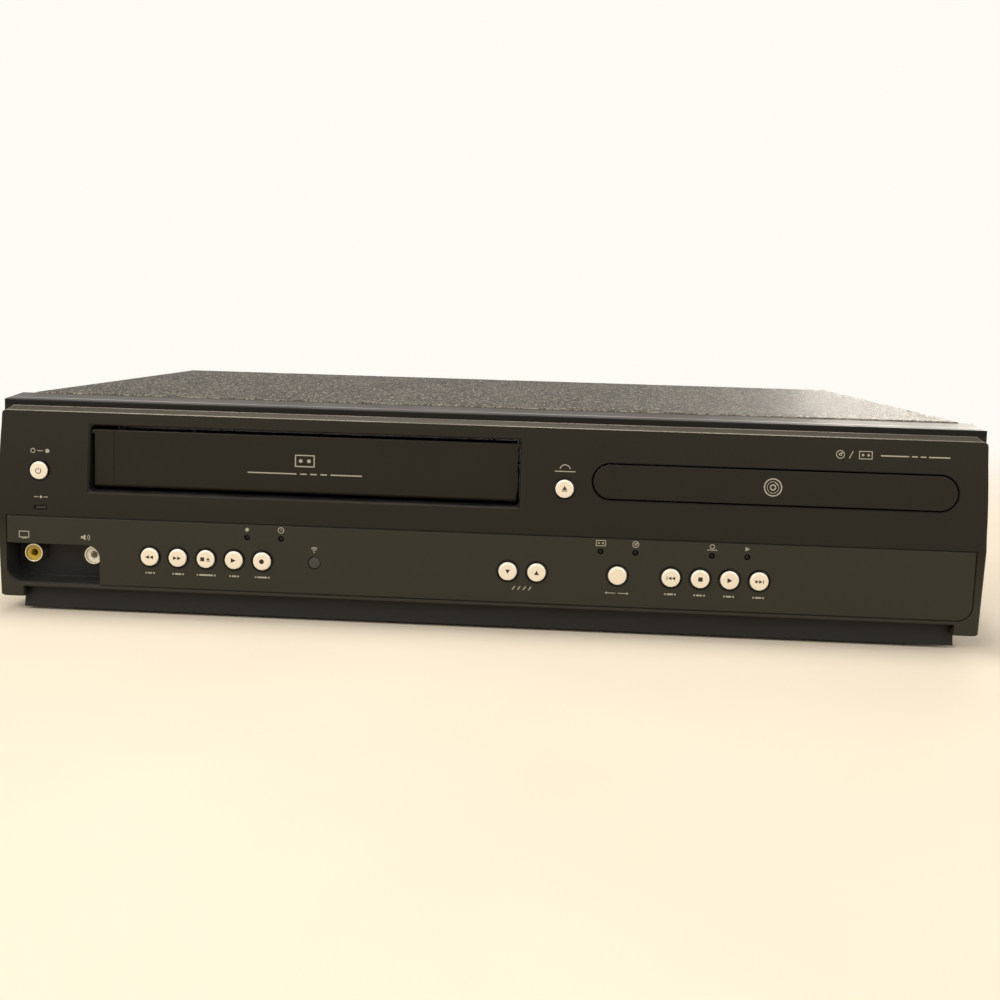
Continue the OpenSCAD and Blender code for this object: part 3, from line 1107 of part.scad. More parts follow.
// everything on the traverse is drawn raised and level, then lowered about its rear pins
module lowered() {
    translate([tray_x, lift_pin_y, lift_pin_z]) rotate([lift_angle, 0, 0])
        translate([-tray_x, -lift_pin_y, -lift_pin_z]) children();
}
traverse_z = 58.5;
traverse_t = 2;
traverse_front = disc_y - 20;
module traverse_deck() color([0.2, 0.2, 0.2]) placed() lowered() difference() {
    union() {
        translate([0, 0, traverse_z]) linear_extrude(traverse_t) rounded(tray_x - deck_half_w, tray_x + deck_half_w,
            traverse_front, lift_pin_y + 3, 4);
        for (s = [-1, 1]) translate([tray_x, 0, 0]) mirror([s < 0 ? 1 : 0, 0, 0]) {
            box(deck_half_w - 2, deck_half_w, traverse_front + 6, lift_pin_y + 2, traverse_z, traverse_z + 7);
            rod_x(lift_pin_y, lift_pin_z, deck_half_w - eps, deck_half_w + 5.6, 3);
            // blocks that hold the ends of the rails
            for (y = [pickup_y - 14 - 8, lift_pin_y - 6]) box(rail_half - 3, rail_half + 3, y, y + 5,
                traverse_z + traverse_t - eps, rail_z + 3);
        }
        rod_z(tray_x, disc_y, traverse_z, traverse_z + 8, 8);
    }
    translate([0, 0, traverse_z - 1]) linear_extrude(4) rounded(tray_x - 19, tray_x + 19, pickup_y - 16,
        lift_pin_y - 8, 3);
    for (s = [-1, 1]) rod_y(tray_x + s * rail_half, rail_z, pickup_y - 24, lift_pin_y, rail_d);
    rod_z(tray_x, disc_y, traverse_z + 2, traverse_z + 9, 2 + 2 * run);
}
rail_z = 65;
module pickup_rails() color([0.85, 0.85, 0.85]) placed() lowered()
    for (s = [-1, 1]) rod_y(tray_x + s * rail_half, rail_z, pickup_y - 22, lift_pin_y - 1, rail_d);
module turntable() color([0.3, 0.3, 0.32]) placed() lowered() translate([tray_x, disc_y, 0]) {
    rod_z(0, 0, traverse_z + 3, disc_up, 2);
    difference() {
        rod_z(0, 0, traverse_z + 9, disc_up - 1, 23);
        rod_z(0, 0, traverse_z + 8, disc_up - 2.4, 21);
        rod_z(0, 0, traverse_z + 8, disc_up, 2 - eps);
    }
    rod_z(0, 0, disc_up - 1.5, disc_up, 29);
    translate([0, 0, disc_up - eps]) cylinder(h = 2, d1 = 14.9, d2 = 11);
}
module optical_pickup() color([0.25, 0.25, 0.28]) placed() lowered() translate([tray_x, pickup_y, 0]) {
    difference() {
        union() {
            box(-17, 17, -pickup_half, pickup_half, traverse_z + 0.5, rail_z + 2);
            box(-rail_half - 3, -16, -10, 10, rail_z - 3, rail_z + 3);
            box(16, rail_half + 3, -4, 4, rail_z - 3, rail_z + 3);
            box(-9, 9, -7, 7, rail_z, rail_z + 5);
        }
        rod_y(-rail_half, rail_z, -14, 14, rail_d + 2 * run);
        box(rail_half - 1.8, rail_half + 4, -5, 5, rail_z - rail_d / 2 - 0.1, rail_z + rail_d / 2 + 0.1);
    }
    rod_z(0, 0, rail_z + 5 - eps, rail_z + 5.6, 5);
}
module disc_clamp() color([0.2, 0.2, 0.2]) placed() translate([tray_x, disc_y, 0]) difference() {
    union() {
        rod_z(0, 0, bridge_z + bridge_t + seat, bridge_z + bridge_t + 2.4, 36);
        rod_z(0, 0, tray_top + 0.7, bridge_z + bridge_t + 1, 30);
    }
    rod_z(0, 0, tray_top, tray_top + 3.6, 17);
    rod_z(0, 0, bridge_z + 1, bridge_z + 10, 20);
}
module clamp_bridge() color([0.75, 0.75, 0.73]) placed() difference() {
    union() {
        box(tray_x - loader_half, tray_x + loader_half, disc_y - 22, disc_y + 22,
            bridge_z + seat, bridge_z + bridge_t);
        for (y = [disc_y - 22, disc_y + 21]) box(tray_x - loader_half + 8, tray_x + loader_half - 8, y, y + 1,
            bridge_z + seat, bridge_z + 4);
    }
    rod_z(tray_x, disc_y, bridge_z - 1, bridge_z + 5, 31.4);
    for (s = [-1, 1]) rod_z(tray_x + s * (loader_half - 12), disc_y, bridge_z - 1, bridge_z + 5, 10);
}

// ================= boards =================
parts_z = board_z + board_t + seat;   // underside of what stands on the main board
module main_board() color([0.1, 0.35, 0.2]) placed() difference() {
    box(main_x[0], main_x[1], main_y[0], main_y[1], board_z + seat, board_z + board_t);
    for (p = board_bosses) rod_z(p[0], p[1], board_z - 1, board_z + 4, 3);
    for (y = [deck_front, deck_back - 12], s = [-1, 1]) box(slot_x + s * (deck_half - 4) - 8,
        slot_x + s * (deck_half - 4) + 8, y - 3, y + 15, board_z - 1, board_z + 4);
    for (s = [-1, 1]) rod_z(tray_x + s * (loader_half - 7), loader_leg_y[1], board_z - 1, board_z + 4, 10);
}
transformer_at = [tray_x + 44, body_d - 84];
ribbon_x = [slot_x - 60, slot_x + 60, tray_x - 67];
// x from the middle of the disc loader, y, diameter and height of each capacitor
capacitor_at = [for (c = [[23, body_d - 35, 22, 32], [-7, body_d - 30, 16, 25], [-29, body_d - 27, 12, 20],
    [-52, body_d - 30, 10, 16], [-52, body_d - 50, 8, 12], [-57, body_d - 40, 8, 12], [-17, 120, 8, 12],
    [13, 100, 6.3, 11], [70, 110, 6.3, 11], [-37, 90, 6.3, 11]]) [tray_x + c[0], c[1], c[2], c[3]]];
// x, y, width and length of each integrated circuit
chip_at = [[tray_x - 27, 140, 28, 28], [tray_x + 23, 80, 20, 20], [tray_x - 42, 60, 14, 24],
    [slot_x - 20, 60, 14, 30], [slot_x + 20, 100, 20, 20], [slot_x + 80, 120, 18, 18]];
module board_components() color([0.15, 0.15, 0.15]) placed() {
    for (c = capacitor_at) translate([c[0], c[1], parts_z]) difference() {
        cylinder(h = c[3], d = c[2]);
        translate([0, 0, c[3] - 0.3]) cylinder(h = 1, d = c[2] - 2);
    }
    for (c = chip_at) box(c[0] - c[2] / 2, c[0] + c[2] / 2, c[1] - c[3] / 2, c[1] + c[3] / 2, parts_z, parts_z + 2);
    // switching transformer: core, coil former and windings
    translate([transformer_at[0], transformer_at[1], parts_z]) {
        box(-16, 16, -14, 14, 0, 3);
        box(-11, 11, -12, 12, 3 - eps, 24);
        difference() {
            box(-17, 17, -7, 7, 5, 23);
            box(-12, 12, -8, 8, 6, 22);
        }
    }
    // connectors of the ribbon cables
    for (x = ribbon_x) box(x - 14, x + 14, main_y[0] + 4, main_y[0] + 9, parts_z, parts_z + 8);
}
sink_at = [between_x - 0.9, 170];
sink_h = 46;
sink_len = 44;
fin_count = 8;
fin_reach = 8;
module heat_sink() color([0.75, 0.75, 0.77]) placed() translate([sink_at[0], sink_at[1], parts_z])
    linear_extrude(sink_h) union() {
        square([3, sink_len], center = true);
        for (i = [0:fin_count - 1]) translate([-fin_reach, -sink_len / 2 + i * (sink_len - 1.6) / (fin_count - 1)])
            square([2 * fin_reach, 1.6]);
    }
module cord_gland() color([0.06, 0.06, 0.06]) placed() difference() {
    union() {
        rod_y(gland_x, gland_z, body_d + seat, body_d + 3, 15);
        rod_y(gland_x, gland_z, panel_y - 4, body_d + 3, 11.8);
        rod_y(gland_x, gland_z, panel_y - 4, panel_y - seat, 14);
    }
    rod_y(gland_x, gland_z, panel_y - 6, body_d + 5, 7);
}

front_bezel();
top_cover();
bottom_chassis();
rear_panel();
feet();
screws();
vcr_door();
door_spring();
standby_button();
rewind_button();
forward_button();
stop_eject_button();
play_button();
record_button();
tracking_down_button();
tracking_up_button();
open_close_button();
source_button();
previous_button();
disc_stop_button();
disc_play_button();
next_button();
indicator_lenses();
ir_window();
jack_blocks();
jack_rings();
jack_sleeves();
function_board();
deck_chassis();
side_brackets();
cassette_cage();
supply_reel();
takeup_reel();
lower_drum();
upper_drum();
capstan();
pinch_arm();
pinch_roller();
tape_guides();
tape_heads();
cam_gear();
loading_pinion();
loader_frame();
dvd_tray();
tray_front();
tray_gear();
pulley_gear();
tray_belt();
drive_motors();
motor_pulley();
traverse_deck();
pickup_rails();
turntable();
optical_pickup();
disc_clamp();
clamp_bridge();
main_board();
board_components();
heat_sink();
cord_gland();
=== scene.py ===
# %% [markdown]
# A cassette recorder and a disc player share one low black case. The frame that is loaded
# here already holds every piece at its real size: shells, doors, buttons, jacks, gears. What
# is left to do is to give each surface its finish, to print the signs on the caps and on the
# face, and to set the camera, the floor and the light.

# %% Load the frame
import json
import math
import bmesh
import bpy
import numpy as np
from mathutils import Matrix, Vector


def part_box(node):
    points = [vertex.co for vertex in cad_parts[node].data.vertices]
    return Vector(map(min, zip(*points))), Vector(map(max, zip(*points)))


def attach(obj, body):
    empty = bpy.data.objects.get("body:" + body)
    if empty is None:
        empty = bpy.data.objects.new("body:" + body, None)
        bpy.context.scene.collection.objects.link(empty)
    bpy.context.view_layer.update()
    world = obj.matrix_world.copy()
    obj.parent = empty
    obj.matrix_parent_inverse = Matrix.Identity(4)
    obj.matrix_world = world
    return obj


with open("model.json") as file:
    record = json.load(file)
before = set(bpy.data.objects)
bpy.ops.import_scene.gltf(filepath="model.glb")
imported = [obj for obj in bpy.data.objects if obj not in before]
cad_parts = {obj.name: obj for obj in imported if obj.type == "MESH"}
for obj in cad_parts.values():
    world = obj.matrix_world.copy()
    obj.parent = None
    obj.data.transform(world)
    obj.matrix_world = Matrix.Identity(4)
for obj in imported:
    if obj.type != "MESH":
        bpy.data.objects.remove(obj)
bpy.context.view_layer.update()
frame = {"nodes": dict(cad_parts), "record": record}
MM = 0.001

# %% [markdown]
# The camera comes first, because everything else is judged through it. It stands half a metre
# in front of the case and a little above it, where the face shows in full and the cover at a
# low angle. It is not quite level, so it turns by yaw, pitch and roll, and its optical centre
# lies off the middle of the frame, which Blender calls shift.

# %% Camera
EYE_MM = (23.6, -562.2, 137.7)
YAW, PITCH, ROLL = (math.radians(a) for a in (-2.74, -4.42, 1.65))
FRAME_PX = 1000
FOCAL_PX = 1014.1
CENTRE_PX = (490.2, 399.4)


def camera_axes(yaw, pitch, roll):
    """Right, up and forward of a camera that looks along +Y and turns by yaw, pitch, roll."""
    forward = np.array([math.sin(yaw) * math.cos(pitch), math.cos(yaw) * math.cos(pitch),
                        math.sin(pitch)])
    level = np.array([math.cos(yaw), -math.sin(yaw), 0.0])
    upright = np.cross(level, forward)
    right = level * math.cos(roll) + upright * math.sin(roll)
    up = upright * math.cos(roll) - level * math.sin(roll)
    return right, up, forward


right, up, forward = camera_axes(YAW, PITCH, ROLL)
camera = bpy.data.objects.new("camera", bpy.data.cameras.new("camera"))
bpy.context.scene.collection.objects.link(camera)
turn = np.eye(4)
turn[:3, 0], turn[:3, 1], turn[:3, 2] = right, up, -forward
turn[:3, 3] = np.array(EYE_MM) * MM
camera.matrix_world = Matrix(turn.tolist())
camera.data.sensor_width = 36.0
camera.data.lens = 36.0 * FOCAL_PX / FRAME_PX
camera.data.shift_x = (FRAME_PX / 2 - CENTRE_PX[0]) / FRAME_PX
camera.data.shift_y = (CENTRE_PX[1] - FRAME_PX / 2) / FRAME_PX
camera.data.clip_start = 0.01
bpy.context.scene.camera = camera
print("lens", round(camera.data.lens, 2), "mm")

# %% [markdown]
# Black goods are lit by what they reflect. A pale surround for camera and glossy rays gives
# clean reflections, while the light that falls on the surfaces stays at a plain level. Two
# soft lamps in front model the face, one overhead and a low one behind skim the top cover, so
# that its grain shows.

# %% World and lamps
AMBIENT = 0.4
BACKDROP = (1.0, 0.968, 0.915)


def surround(strength):
    """World that is at full strength where it is seen or mirrored, and dimmer where it lights."""
    world = bpy.data.worlds.new("surround")
    bpy.context.scene.world = world
    world.use_nodes = True
    tree = world.node_tree
    path = tree.nodes.new("ShaderNodeLightPath")
    seen = path.outputs["Is Camera Ray"]
    for ray in ("Is Glossy Ray", "Is Transmission Ray"):
        either = tree.nodes.new("ShaderNodeMath")
        either.operation = "MAXIMUM"
        tree.links.new(seen, either.inputs[0])
        tree.links.new(path.outputs[ray], either.inputs[1])
        seen = either.outputs[0]
    level = tree.nodes.new("ShaderNodeMapRange")
    level.inputs["To Min"].default_value = strength
    level.inputs["To Max"].default_value = 1.0
    tree.links.new(seen, level.inputs["Value"])
    background = tree.nodes["Background"]
    background.inputs["Color"].default_value = (*BACKDROP, 1)
    tree.links.new(level.outputs["Result"], background.inputs["Strength"])
    return world


def panel_light(name, place, target, size, power, colour):
    """Square soft light at place, turned so that it shines at target; the camera doesn't see it."""
    data = bpy.data.lights.new(name, "AREA")
    data.shape, data.size, data.energy, data.color = "SQUARE", size, power, colour
    lamp = bpy.data.objects.new(name, data)
    bpy.context.scene.collection.objects.link(lamp)
    aim = (Vector(target) - Vector(place)).to_track_quat("-Z", "Y")
    lamp.matrix_world = Matrix.Translation(place) @ aim.to_matrix().to_4x4()
    lamp.visible_camera = False
    return lamp


WARM, WARMER = (1.0, 0.95, 0.88), (1.0, 0.93, 0.83)
LAMPS = {  # place, target and size in m, power in W, colour
    "front_left": ((-0.8, -1.2, 1.0), (0, -0.1, 0.05), 1.0, 17.0, WARM),
    "front_right": ((1.0, -1.1, 0.9), (0, -0.1, 0.05), 0.9, 9.0, WARM),
    "overhead": ((-0.12, 0.0, 1.2), (0, -0.1, 0.09), 0.4, 8.0, WARM),
    "low_behind": ((0.9, 1.5, 0.36), (0.14, -0.1, 0.09), 0.7, 16.0, WARMER)}
surround(AMBIENT)
for name, settings in LAMPS.items():
    panel_light(name, *settings)
print("lamps:", ", ".join(LAMPS))

# %% [markdown]
# The case stands on a table. A single flat sheet a few metres wide is enough, because its end
# is out of sight. It holds the shadow of the case, and it gets its pale finish at the end.

# %% Floor sheet
FLOOR_HALF_M = 3.0


def flat_sheet(name, half, z):
    """Square sheet facing up: corners at plus and minus half in X and Y."""
    corners = [(-half, -half, z), (half, -half, z), (half, half, z), (-half, half, z)]
    mesh = bpy.data.meshes.new(name)
    mesh.from_pydata(corners, [], [(0, 1, 2, 3)])
    sheet = bpy.data.objects.new(name, mesh)
    bpy.context.scene.collection.objects.link(sheet)
    return sheet


floor = flat_sheet("floor", FLOOR_HALF_M, 0.0)
print("floor sheet", 2 * FLOOR_HALF_M, "m wide")

# %% [markdown]
# Every finish is a Principled shader whose constants sit on its own sockets, and patterns in
# Object coordinates that are linked in on top. These helpers keep each material to a few
# lines: they make the shader, a pattern, a spread of that pattern over a socket, and products
# and mixes of values.

# %% Helpers for shaders and patterns
def finish(name, colour, rough, metal=0.0, **plain):
    """New material with constant sockets; returns the material, its tree and its shader."""
    mat = bpy.data.materials.new(name)
    mat.use_nodes = True
    shader = mat.node_tree.nodes["Principled BSDF"]
    shader.inputs["Base Color"].default_value = (*colour, 1)
    shader.inputs["Roughness"].default_value = rough
    shader.inputs["Metallic"].default_value = metal
    for socket, value in plain.items():
        shader.inputs[socket.replace("_", " ")].default_value = value
    return mat, mat.node_tree, shader


def pattern(tree, kind, size_mm, stretch=(1, 1, 1), **settings):
    """Texture node whose features are about size_mm wide, in Object coordinates."""
    place = tree.nodes.new("ShaderNodeTexCoord")
    mapping = tree.nodes.new("ShaderNodeMapping")
    mapping.inputs["Scale"].default_value = stretch
    node = tree.nodes.new("ShaderNodeTex" + kind)
    node.inputs["Scale"].default_value = 1.0 / (size_mm * MM)
    for key, value in settings.items():
        node.inputs[key].default_value = value
    tree.links.new(place.outputs["Object"], mapping.inputs["Vector"])
    tree.links.new(mapping.outputs["Vector"], node.inputs["Vector"])
    return node


def spread(tree, value, socket, low, high, start=0.3, stop=0.7):
    """Carries value from start..stop over to low..high and links it to a socket."""
    node = tree.nodes.new("ShaderNodeMapRange")
    for key, number in (("From Min", start), ("From Max", stop), ("To Min", low), ("To Max", high)):
        node.inputs[key].default_value = number
    tree.links.new(value, node.inputs["Value"])
    if socket is not None:
        tree.links.new(node.outputs["Result"], socket)
    return node.outputs["Result"]


def combine(tree, operation, first, second):
    """One Math node on two values, each a socket or a number."""
    node = tree.nodes.new("ShaderNodeMath")
    node.operation = operation
    for slot, value in enumerate((first, second)):
        if isinstance(value, (int, float)):
            node.inputs[slot].default_value = value
        else:
            tree.links.new(value, node.inputs[slot])
    return node.outputs[0]


def product(tree, first, *others):
    """Product of two or more values, each a socket or a number."""
    for value in others:
        first = combine(tree, "MULTIPLY", first, value)
    return first


def inverse(tree, value):
    """1 minus a value."""
    return combine(tree, "SUBTRACT", 1.0, value)


def blend_colour(tree, factor, first, second):
    """Mixes two colours, each a socket or three numbers, by a factor from 0 to 1."""
    node = tree.nodes.new("ShaderNodeMix")
    node.data_type = "RGBA"
    tree.links.new(factor, node.inputs["Factor"])
    for slot, value in ((6, first), (7, second)):
        if isinstance(value, tuple):
            node.inputs[slot].default_value = (*value, 1)
        else:
            tree.links.new(value, node.inputs[slot])
    return node.outputs[2]


print("scale of a pattern 1 mm wide:", round(1.0 / MM))

# %% [markdown]
# What makes a surface look real is mostly its edges and what lies on it. A Bevel node gives a
# normal that is rounded near an edge while the mesh stays as it is, and wherever it leaves the
# true normal there is an edge, which may be painted bright: a painted highlight, and on the
# black plastics also wear. Dust rests on what looks up.

# %% Helpers for edges, wear and dust
EDGE_SAMPLES = 4


def soft_edge(tree, radius_mm):
    """Normal that is rounded over radius_mm at every sharp edge."""
    node = tree.nodes.new("ShaderNodeBevel")
    node.samples = EDGE_SAMPLES
    node.inputs["Radius"].default_value = radius_mm * MM
    return node.outputs["Normal"]


def relief(tree, shader, height, depth_mm, under=None):
    """Bump of depth_mm from a height value, over another normal if one is given."""
    node = tree.nodes.new("ShaderNodeBump")
    node.inputs["Distance"].default_value = depth_mm * MM
    tree.links.new(height, node.inputs["Height"])
    if under is not None:
        tree.links.new(under, node.inputs["Normal"])
    tree.links.new(node.outputs["Normal"], shader.inputs["Normal"])
    return node.outputs["Normal"]


def rounding(tree, edge_normal, start, stop):
    """1 where the rounded normal leaves the true one, so along edges. Their dot product is 1 on
    a flat, and start..stop says over which range of it the edge fades out."""
    geometry = tree.nodes.new("ShaderNodeNewGeometry")
    dot = tree.nodes.new("ShaderNodeVectorMath")
    dot.operation = "DOT_PRODUCT"
    tree.links.new(edge_normal, dot.inputs[0])
    tree.links.new(geometry.outputs["Normal"], dot.inputs[1])
    return spread(tree, dot.outputs["Value"], None, 1.0, 0.0, start, stop)


def bright_edges(tree, edge_normal, start, stop):
    """Edges painted bright in places, as a painted highlight that on the black plastics also
    stands for wear: the rounding, broken up by noise.
    """
    along = rounding(tree, edge_normal, start, stop)
    patches = spread(tree, pattern(tree, "Noise", 6, Detail=4.0).outputs["Fac"], None, 0.2, 1.0)
    return product(tree, along, patches)


def settled_dust(tree, size_mm=9, amount=1.0):
    """0 to amount on faces that look up, in soft clouds: where dust comes to rest."""
    geometry = tree.nodes.new("ShaderNodeNewGeometry")
    split = tree.nodes.new("ShaderNodeSeparateXYZ")
    tree.links.new(geometry.outputs["Normal"], split.inputs[0])
    upward = spread(tree, split.outputs["Z"], None, 0.0, 1.0, 0.5, 0.95)
    clouds = pattern(tree, "Noise", size_mm, Detail=6.0).outputs["Fac"]
    return product(tree, upward, spread(tree, clouds, None, 0.0, amount, 0.4, 0.75))


print("samples of a soft edge:", EDGE_SAMPLES)

# %% [markdown]
# The case front is one black moulding, here in several tones, most of which are painted
# shade, painted reflection and painted highlight. Cutting its mesh into a panel, a plinth and a
# rim would break up one piece, so the tones are told apart by place: by how high and how deep
# behind the face a point lies, and by which way the surface looks. Each helper gives a mask
# from 0 to 1, and masks are multiplied where two conditions hold at once.

# %% Places on the front
# the face in mm: it stands furthest forward at the crease, leans back to the plinth in a
# straight line and to the ledge along a curve, and the rim lies behind the ledge
CREASE_Z_MM, PLINTH_Z_MM, LEDGE_Z_MM = 44.8, 12.0, 91.9
CREASE_Y_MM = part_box("front_bezel")[0].y / MM
FACE_LEAN_MM, FACE_CURVE_MM, FACE_POWER = 1.0, 2.8, 1.6


def axes(tree):
    """X, Y and Z sockets of the Object coordinates."""
    place = tree.nodes.new("ShaderNodeTexCoord")
    split = tree.nodes.new("ShaderNodeSeparateXYZ")
    tree.links.new(place.outputs["Object"], split.inputs[0])
    return split.outputs


def beyond(tree, axis, limit_mm, soft_mm=0.15):
    """0 below limit_mm and 1 above it, with a short soft step."""
    return spread(tree, axis, None, 0.0, 1.0, (limit_mm - soft_mm) * MM, (limit_mm + soft_mm) * MM)


def facing(tree, axis, start, stop, normal=None):
    """0 to 1 as one part of the surface's normal goes from start to stop."""
    split = tree.nodes.new("ShaderNodeSeparateXYZ")
    if normal is None:
        normal = tree.nodes.new("ShaderNodeNewGeometry").outputs["Normal"]
    tree.links.new(normal, split.inputs[0])
    return spread(tree, split.outputs[axis], None, 0.0, 1.0, start, stop)


def behind_face(tree, y, z, depth_mm):
    """1 where a point lies deeper than depth_mm behind the face. Its Y less that of the face is
    its depth: the curve above the crease and the lean below it are taken off."""
    over = spread(tree, z, None, 0.0, 1.0, CREASE_Z_MM * MM, LEDGE_Z_MM * MM)
    curve = product(tree, combine(tree, "POWER", over, FACE_POWER), FACE_CURVE_MM * MM)
    lean = spread(tree, z, None, FACE_LEAN_MM * MM, 0.0, PLINTH_Z_MM * MM, CREASE_Z_MM * MM)
    depth = combine(tree, "SUBTRACT", y, combine(tree, "ADD", curve, lean))
    return beyond(tree, depth, CREASE_Y_MM + depth_mm)


print("crease of the face at Y", round(CREASE_Y_MM, 2), "mm")

# %% [markdown]
# Below the crease the panel is painted lighter, a painted reflection of the pale floor; the
# plinth under it is painted darker and cooler as shade under the face, and what lies in the
# holes is painted glossy black as shade. From the ledge up the moulding looks at the ceiling
# and is painted paler as painted light, and its long edges carry painted highlights, because
# the edges of a mould are never knife sharp.

# %% Tones of the front
# painted reflection on the lower panel, painted shade on the plinth, and painted shade in the holes
# and, a little less dark, in the jack recess
PANEL_REFLECTION_TONE, PLINTH_SHADE = (0.0254, 0.0240, 0.0172), (0.0135, 0.0135, 0.0118)
INSIDE_SHADE, RECESS_SHADE = (0.0085, 0.0086, 0.0088), (0.0185, 0.0190, 0.0188)
# painted shade on the rim front, painted light on the tops of the rim and ledge, and the colour of
# the painted highlights on their edges
RIM_SHADE, RIM_TOP_LIT = (0.0040, 0.0036, 0.0030), (0.030, 0.026, 0.020)
LEDGE_TOP_LIT, EDGE_HIGHLIGHT = (0.064, 0.056, 0.044), (0.88, 0.82, 0.72)
RIM_Y_MM = CREASE_Y_MM + 5.8
RIM_BACK_MM, RIM_LIP_MM = 4.4, 0.9
PANEL_X_MM, SIDE_X_MM = 214.4, 216.0
RECESS_X_MM, RECESS_Z_MM = -160.0, 34.0


def top_edges(tree, base, edge_normal):
    """Colours from the ledge up: tops that look up, painted paler as painted light, a rim front
    painted black as shade that ends in a lip with a painted highlight, and painted highlights
    on the edges, brighter in some stretches than in others."""
    y, z = (axes(tree)[k] for k in "YZ")
    top, above = beyond(tree, z, LEDGE_Z_MM - 1.0), beyond(tree, z, LEDGE_Z_MM + 1.9)
    # tops that look up are painted paler: painted light
    looks_up = product(tree, facing(tree, "Z", 0.15, 0.3), top, 0.8)
    base = blend_colour(tree, looks_up, base, blend_colour(tree, above, LEDGE_TOP_LIT, RIM_TOP_LIT))
    # painted highlights on the upper edges, broken into stretches
    stretches = pattern(tree, "Noise", 90, Detail=2.0).outputs["Fac"]
    stretches = spread(tree, stretches, None, 0.5, 1.0, 0.4, 0.6)
    bent = product(tree, rounding(tree, edge_normal, 0.94, 0.99), top)
    edge = product(tree, facing(tree, "Z", 0.25, 0.5, edge_normal),
                   facing(tree, "Y", -0.12, -0.3, edge_normal), stretches, bent)
    base = blend_colour(tree, edge, base, EDGE_HIGHLIGHT)
    # a lip with a painted highlight, and the rim front before it painted black as shade
    back = beyond(tree, y, RIM_Y_MM + RIM_BACK_MM)
    lip = combine(tree, "SUBTRACT", back, beyond(tree, y, RIM_Y_MM + RIM_BACK_MM + RIM_LIP_MM))
    base = blend_colour(tree, product(tree, lip, above, stretches, 0.4), base, EDGE_HIGHLIGHT)
    return blend_colour(tree, product(tree, above, inverse(tree, back)), base, RIM_SHADE)


def face_colours(tree, colour):
    """Colour of the front: a panel below the crease painted lighter as a painted reflection of
    the floor, a plinth painted darker and cool as shade under the face, and glossy black painted
    as shade where the moulding lies behind the face, such as in the holes. The jack recess is
    painted a little less dark. Round the sides the two tones of the face pass into each other
    softly."""
    x, y, z = (axes(tree)[k] for k in "XYZ")
    off_middle = combine(tree, "ABSOLUTE", x, 0.0)
    panel = combine(tree, "LESS_THAN", off_middle, PANEL_X_MM * MM)
    sharp, faded = beyond(tree, z, CREASE_Z_MM), beyond(tree, z, CREASE_Z_MM - 12.0, 12.0)
    high = combine(tree, "ADD", product(tree, panel, sharp),
                   product(tree, inverse(tree, panel), faded))
    # the panel below the crease is painted lighter: a painted reflection of the floor
    base = blend_colour(tree, high, PANEL_REFLECTION_TONE, colour)
    # the plinth is painted darker and cooler: painted shade under the overhanging face
    low = inverse(tree, beyond(tree, z, PLINTH_Z_MM - 0.2))
    set_back = beyond(tree, y, RIM_Y_MM - 1.0)
    base = blend_colour(tree, product(tree, low, set_back), base, PLINTH_SHADE)
    within = combine(tree, "LESS_THAN", off_middle, SIDE_X_MM * MM)
    under = inverse(tree, beyond(tree, z, LEDGE_Z_MM - 1.0))
    above = beyond(tree, z, PLINTH_Z_MM + 0.5)
    # what lies behind the face is painted glossy black: painted shade in the holes and the recess
    hidden = product(tree, behind_face(tree, y, z, 0.45), under, above, within)
    recess = product(tree, combine(tree, "LESS_THAN", x, RECESS_X_MM * MM),
                     combine(tree, "LESS_THAN", z, RECESS_Z_MM * MM))
    inside = blend_colour(tree, recess, INSIDE_SHADE, RECESS_SHADE)
    return blend_colour(tree, hidden, base, inside)


print("front of the rim at Y", round(RIM_Y_MM, 2), "mm")

# %% [markdown]
# A mould with a fine spark-eroded grain leaves a satin surface: a dark colour, a middling
# roughness that drifts slightly where hands and cloths have polished it, and a relief far too
# fine to see as bumps. The same recipe serves the front, the flap of the door and the parts
# inside, with other colours and a coarser grain.

# %% Black moulded plastics
SATIN_BLACK, DOOR_BLACK = (0.0128, 0.0114, 0.0076), (0.0122, 0.0108, 0.0073)
INNER_BLACK, PLASTIC_DUST = (0.0200, 0.0192, 0.0180), (0.17, 0.16, 0.15)


def moulded(name, colour, rough, grain_mm=0.35, depth_mm=0.012, dust=0.1, zones=None,
            shaded_sides=False):
    """Satin plastic: mould grain, polished patches, soft edges that are worn and painted bright as
    a painted highlight, some dust. Zones gives the colours of a front with painted shade and
    painted reflection, and a flag paints the sides of a flap glossy black as shade."""
    mat, tree, shader = finish(name, colour, rough, Specular_IOR_Level=0.16,
                               Specular_Tint=(1.0, 0.965, 0.88, 1.0))
    edge = soft_edge(tree, 0.5)
    worn = bright_edges(tree, edge, 0.9, 0.99)
    clouds = pattern(tree, "Noise", 38, Detail=3.0)
    satin = spread(tree, clouds.outputs["Fac"], None, rough - 0.05, rough + 0.06)
    polish = inverse(tree, product(tree, worn, 0.45))
    tree.links.new(product(tree, satin, polish), shader.inputs["Roughness"])
    grain = pattern(tree, "Noise", grain_mm, Detail=2.0, Roughness=0.6)
    relief(tree, shader, grain.outputs["Fac"], depth_mm, edge)
    base = zones(tree, colour) if zones else colour
    # edges painted paler: wear, and a painted highlight
    pale = tuple(min(1.0, 3.2 * c + 0.03) for c in colour)
    base = blend_colour(tree, product(tree, worn, 0.4), base, pale)
    if shaded_sides:
        # the sides of the flap are painted glossy black: painted shade in the slot
        base = blend_colour(tree, facing(tree, "Y", -0.9, -0.6), base, INSIDE_SHADE)
    else:
        base = top_edges(tree, base, edge)
    dusty = blend_colour(tree, settled_dust(tree, amount=dust), base, PLASTIC_DUST)
    tree.links.new(dusty, shader.inputs["Base Color"])
    return mat


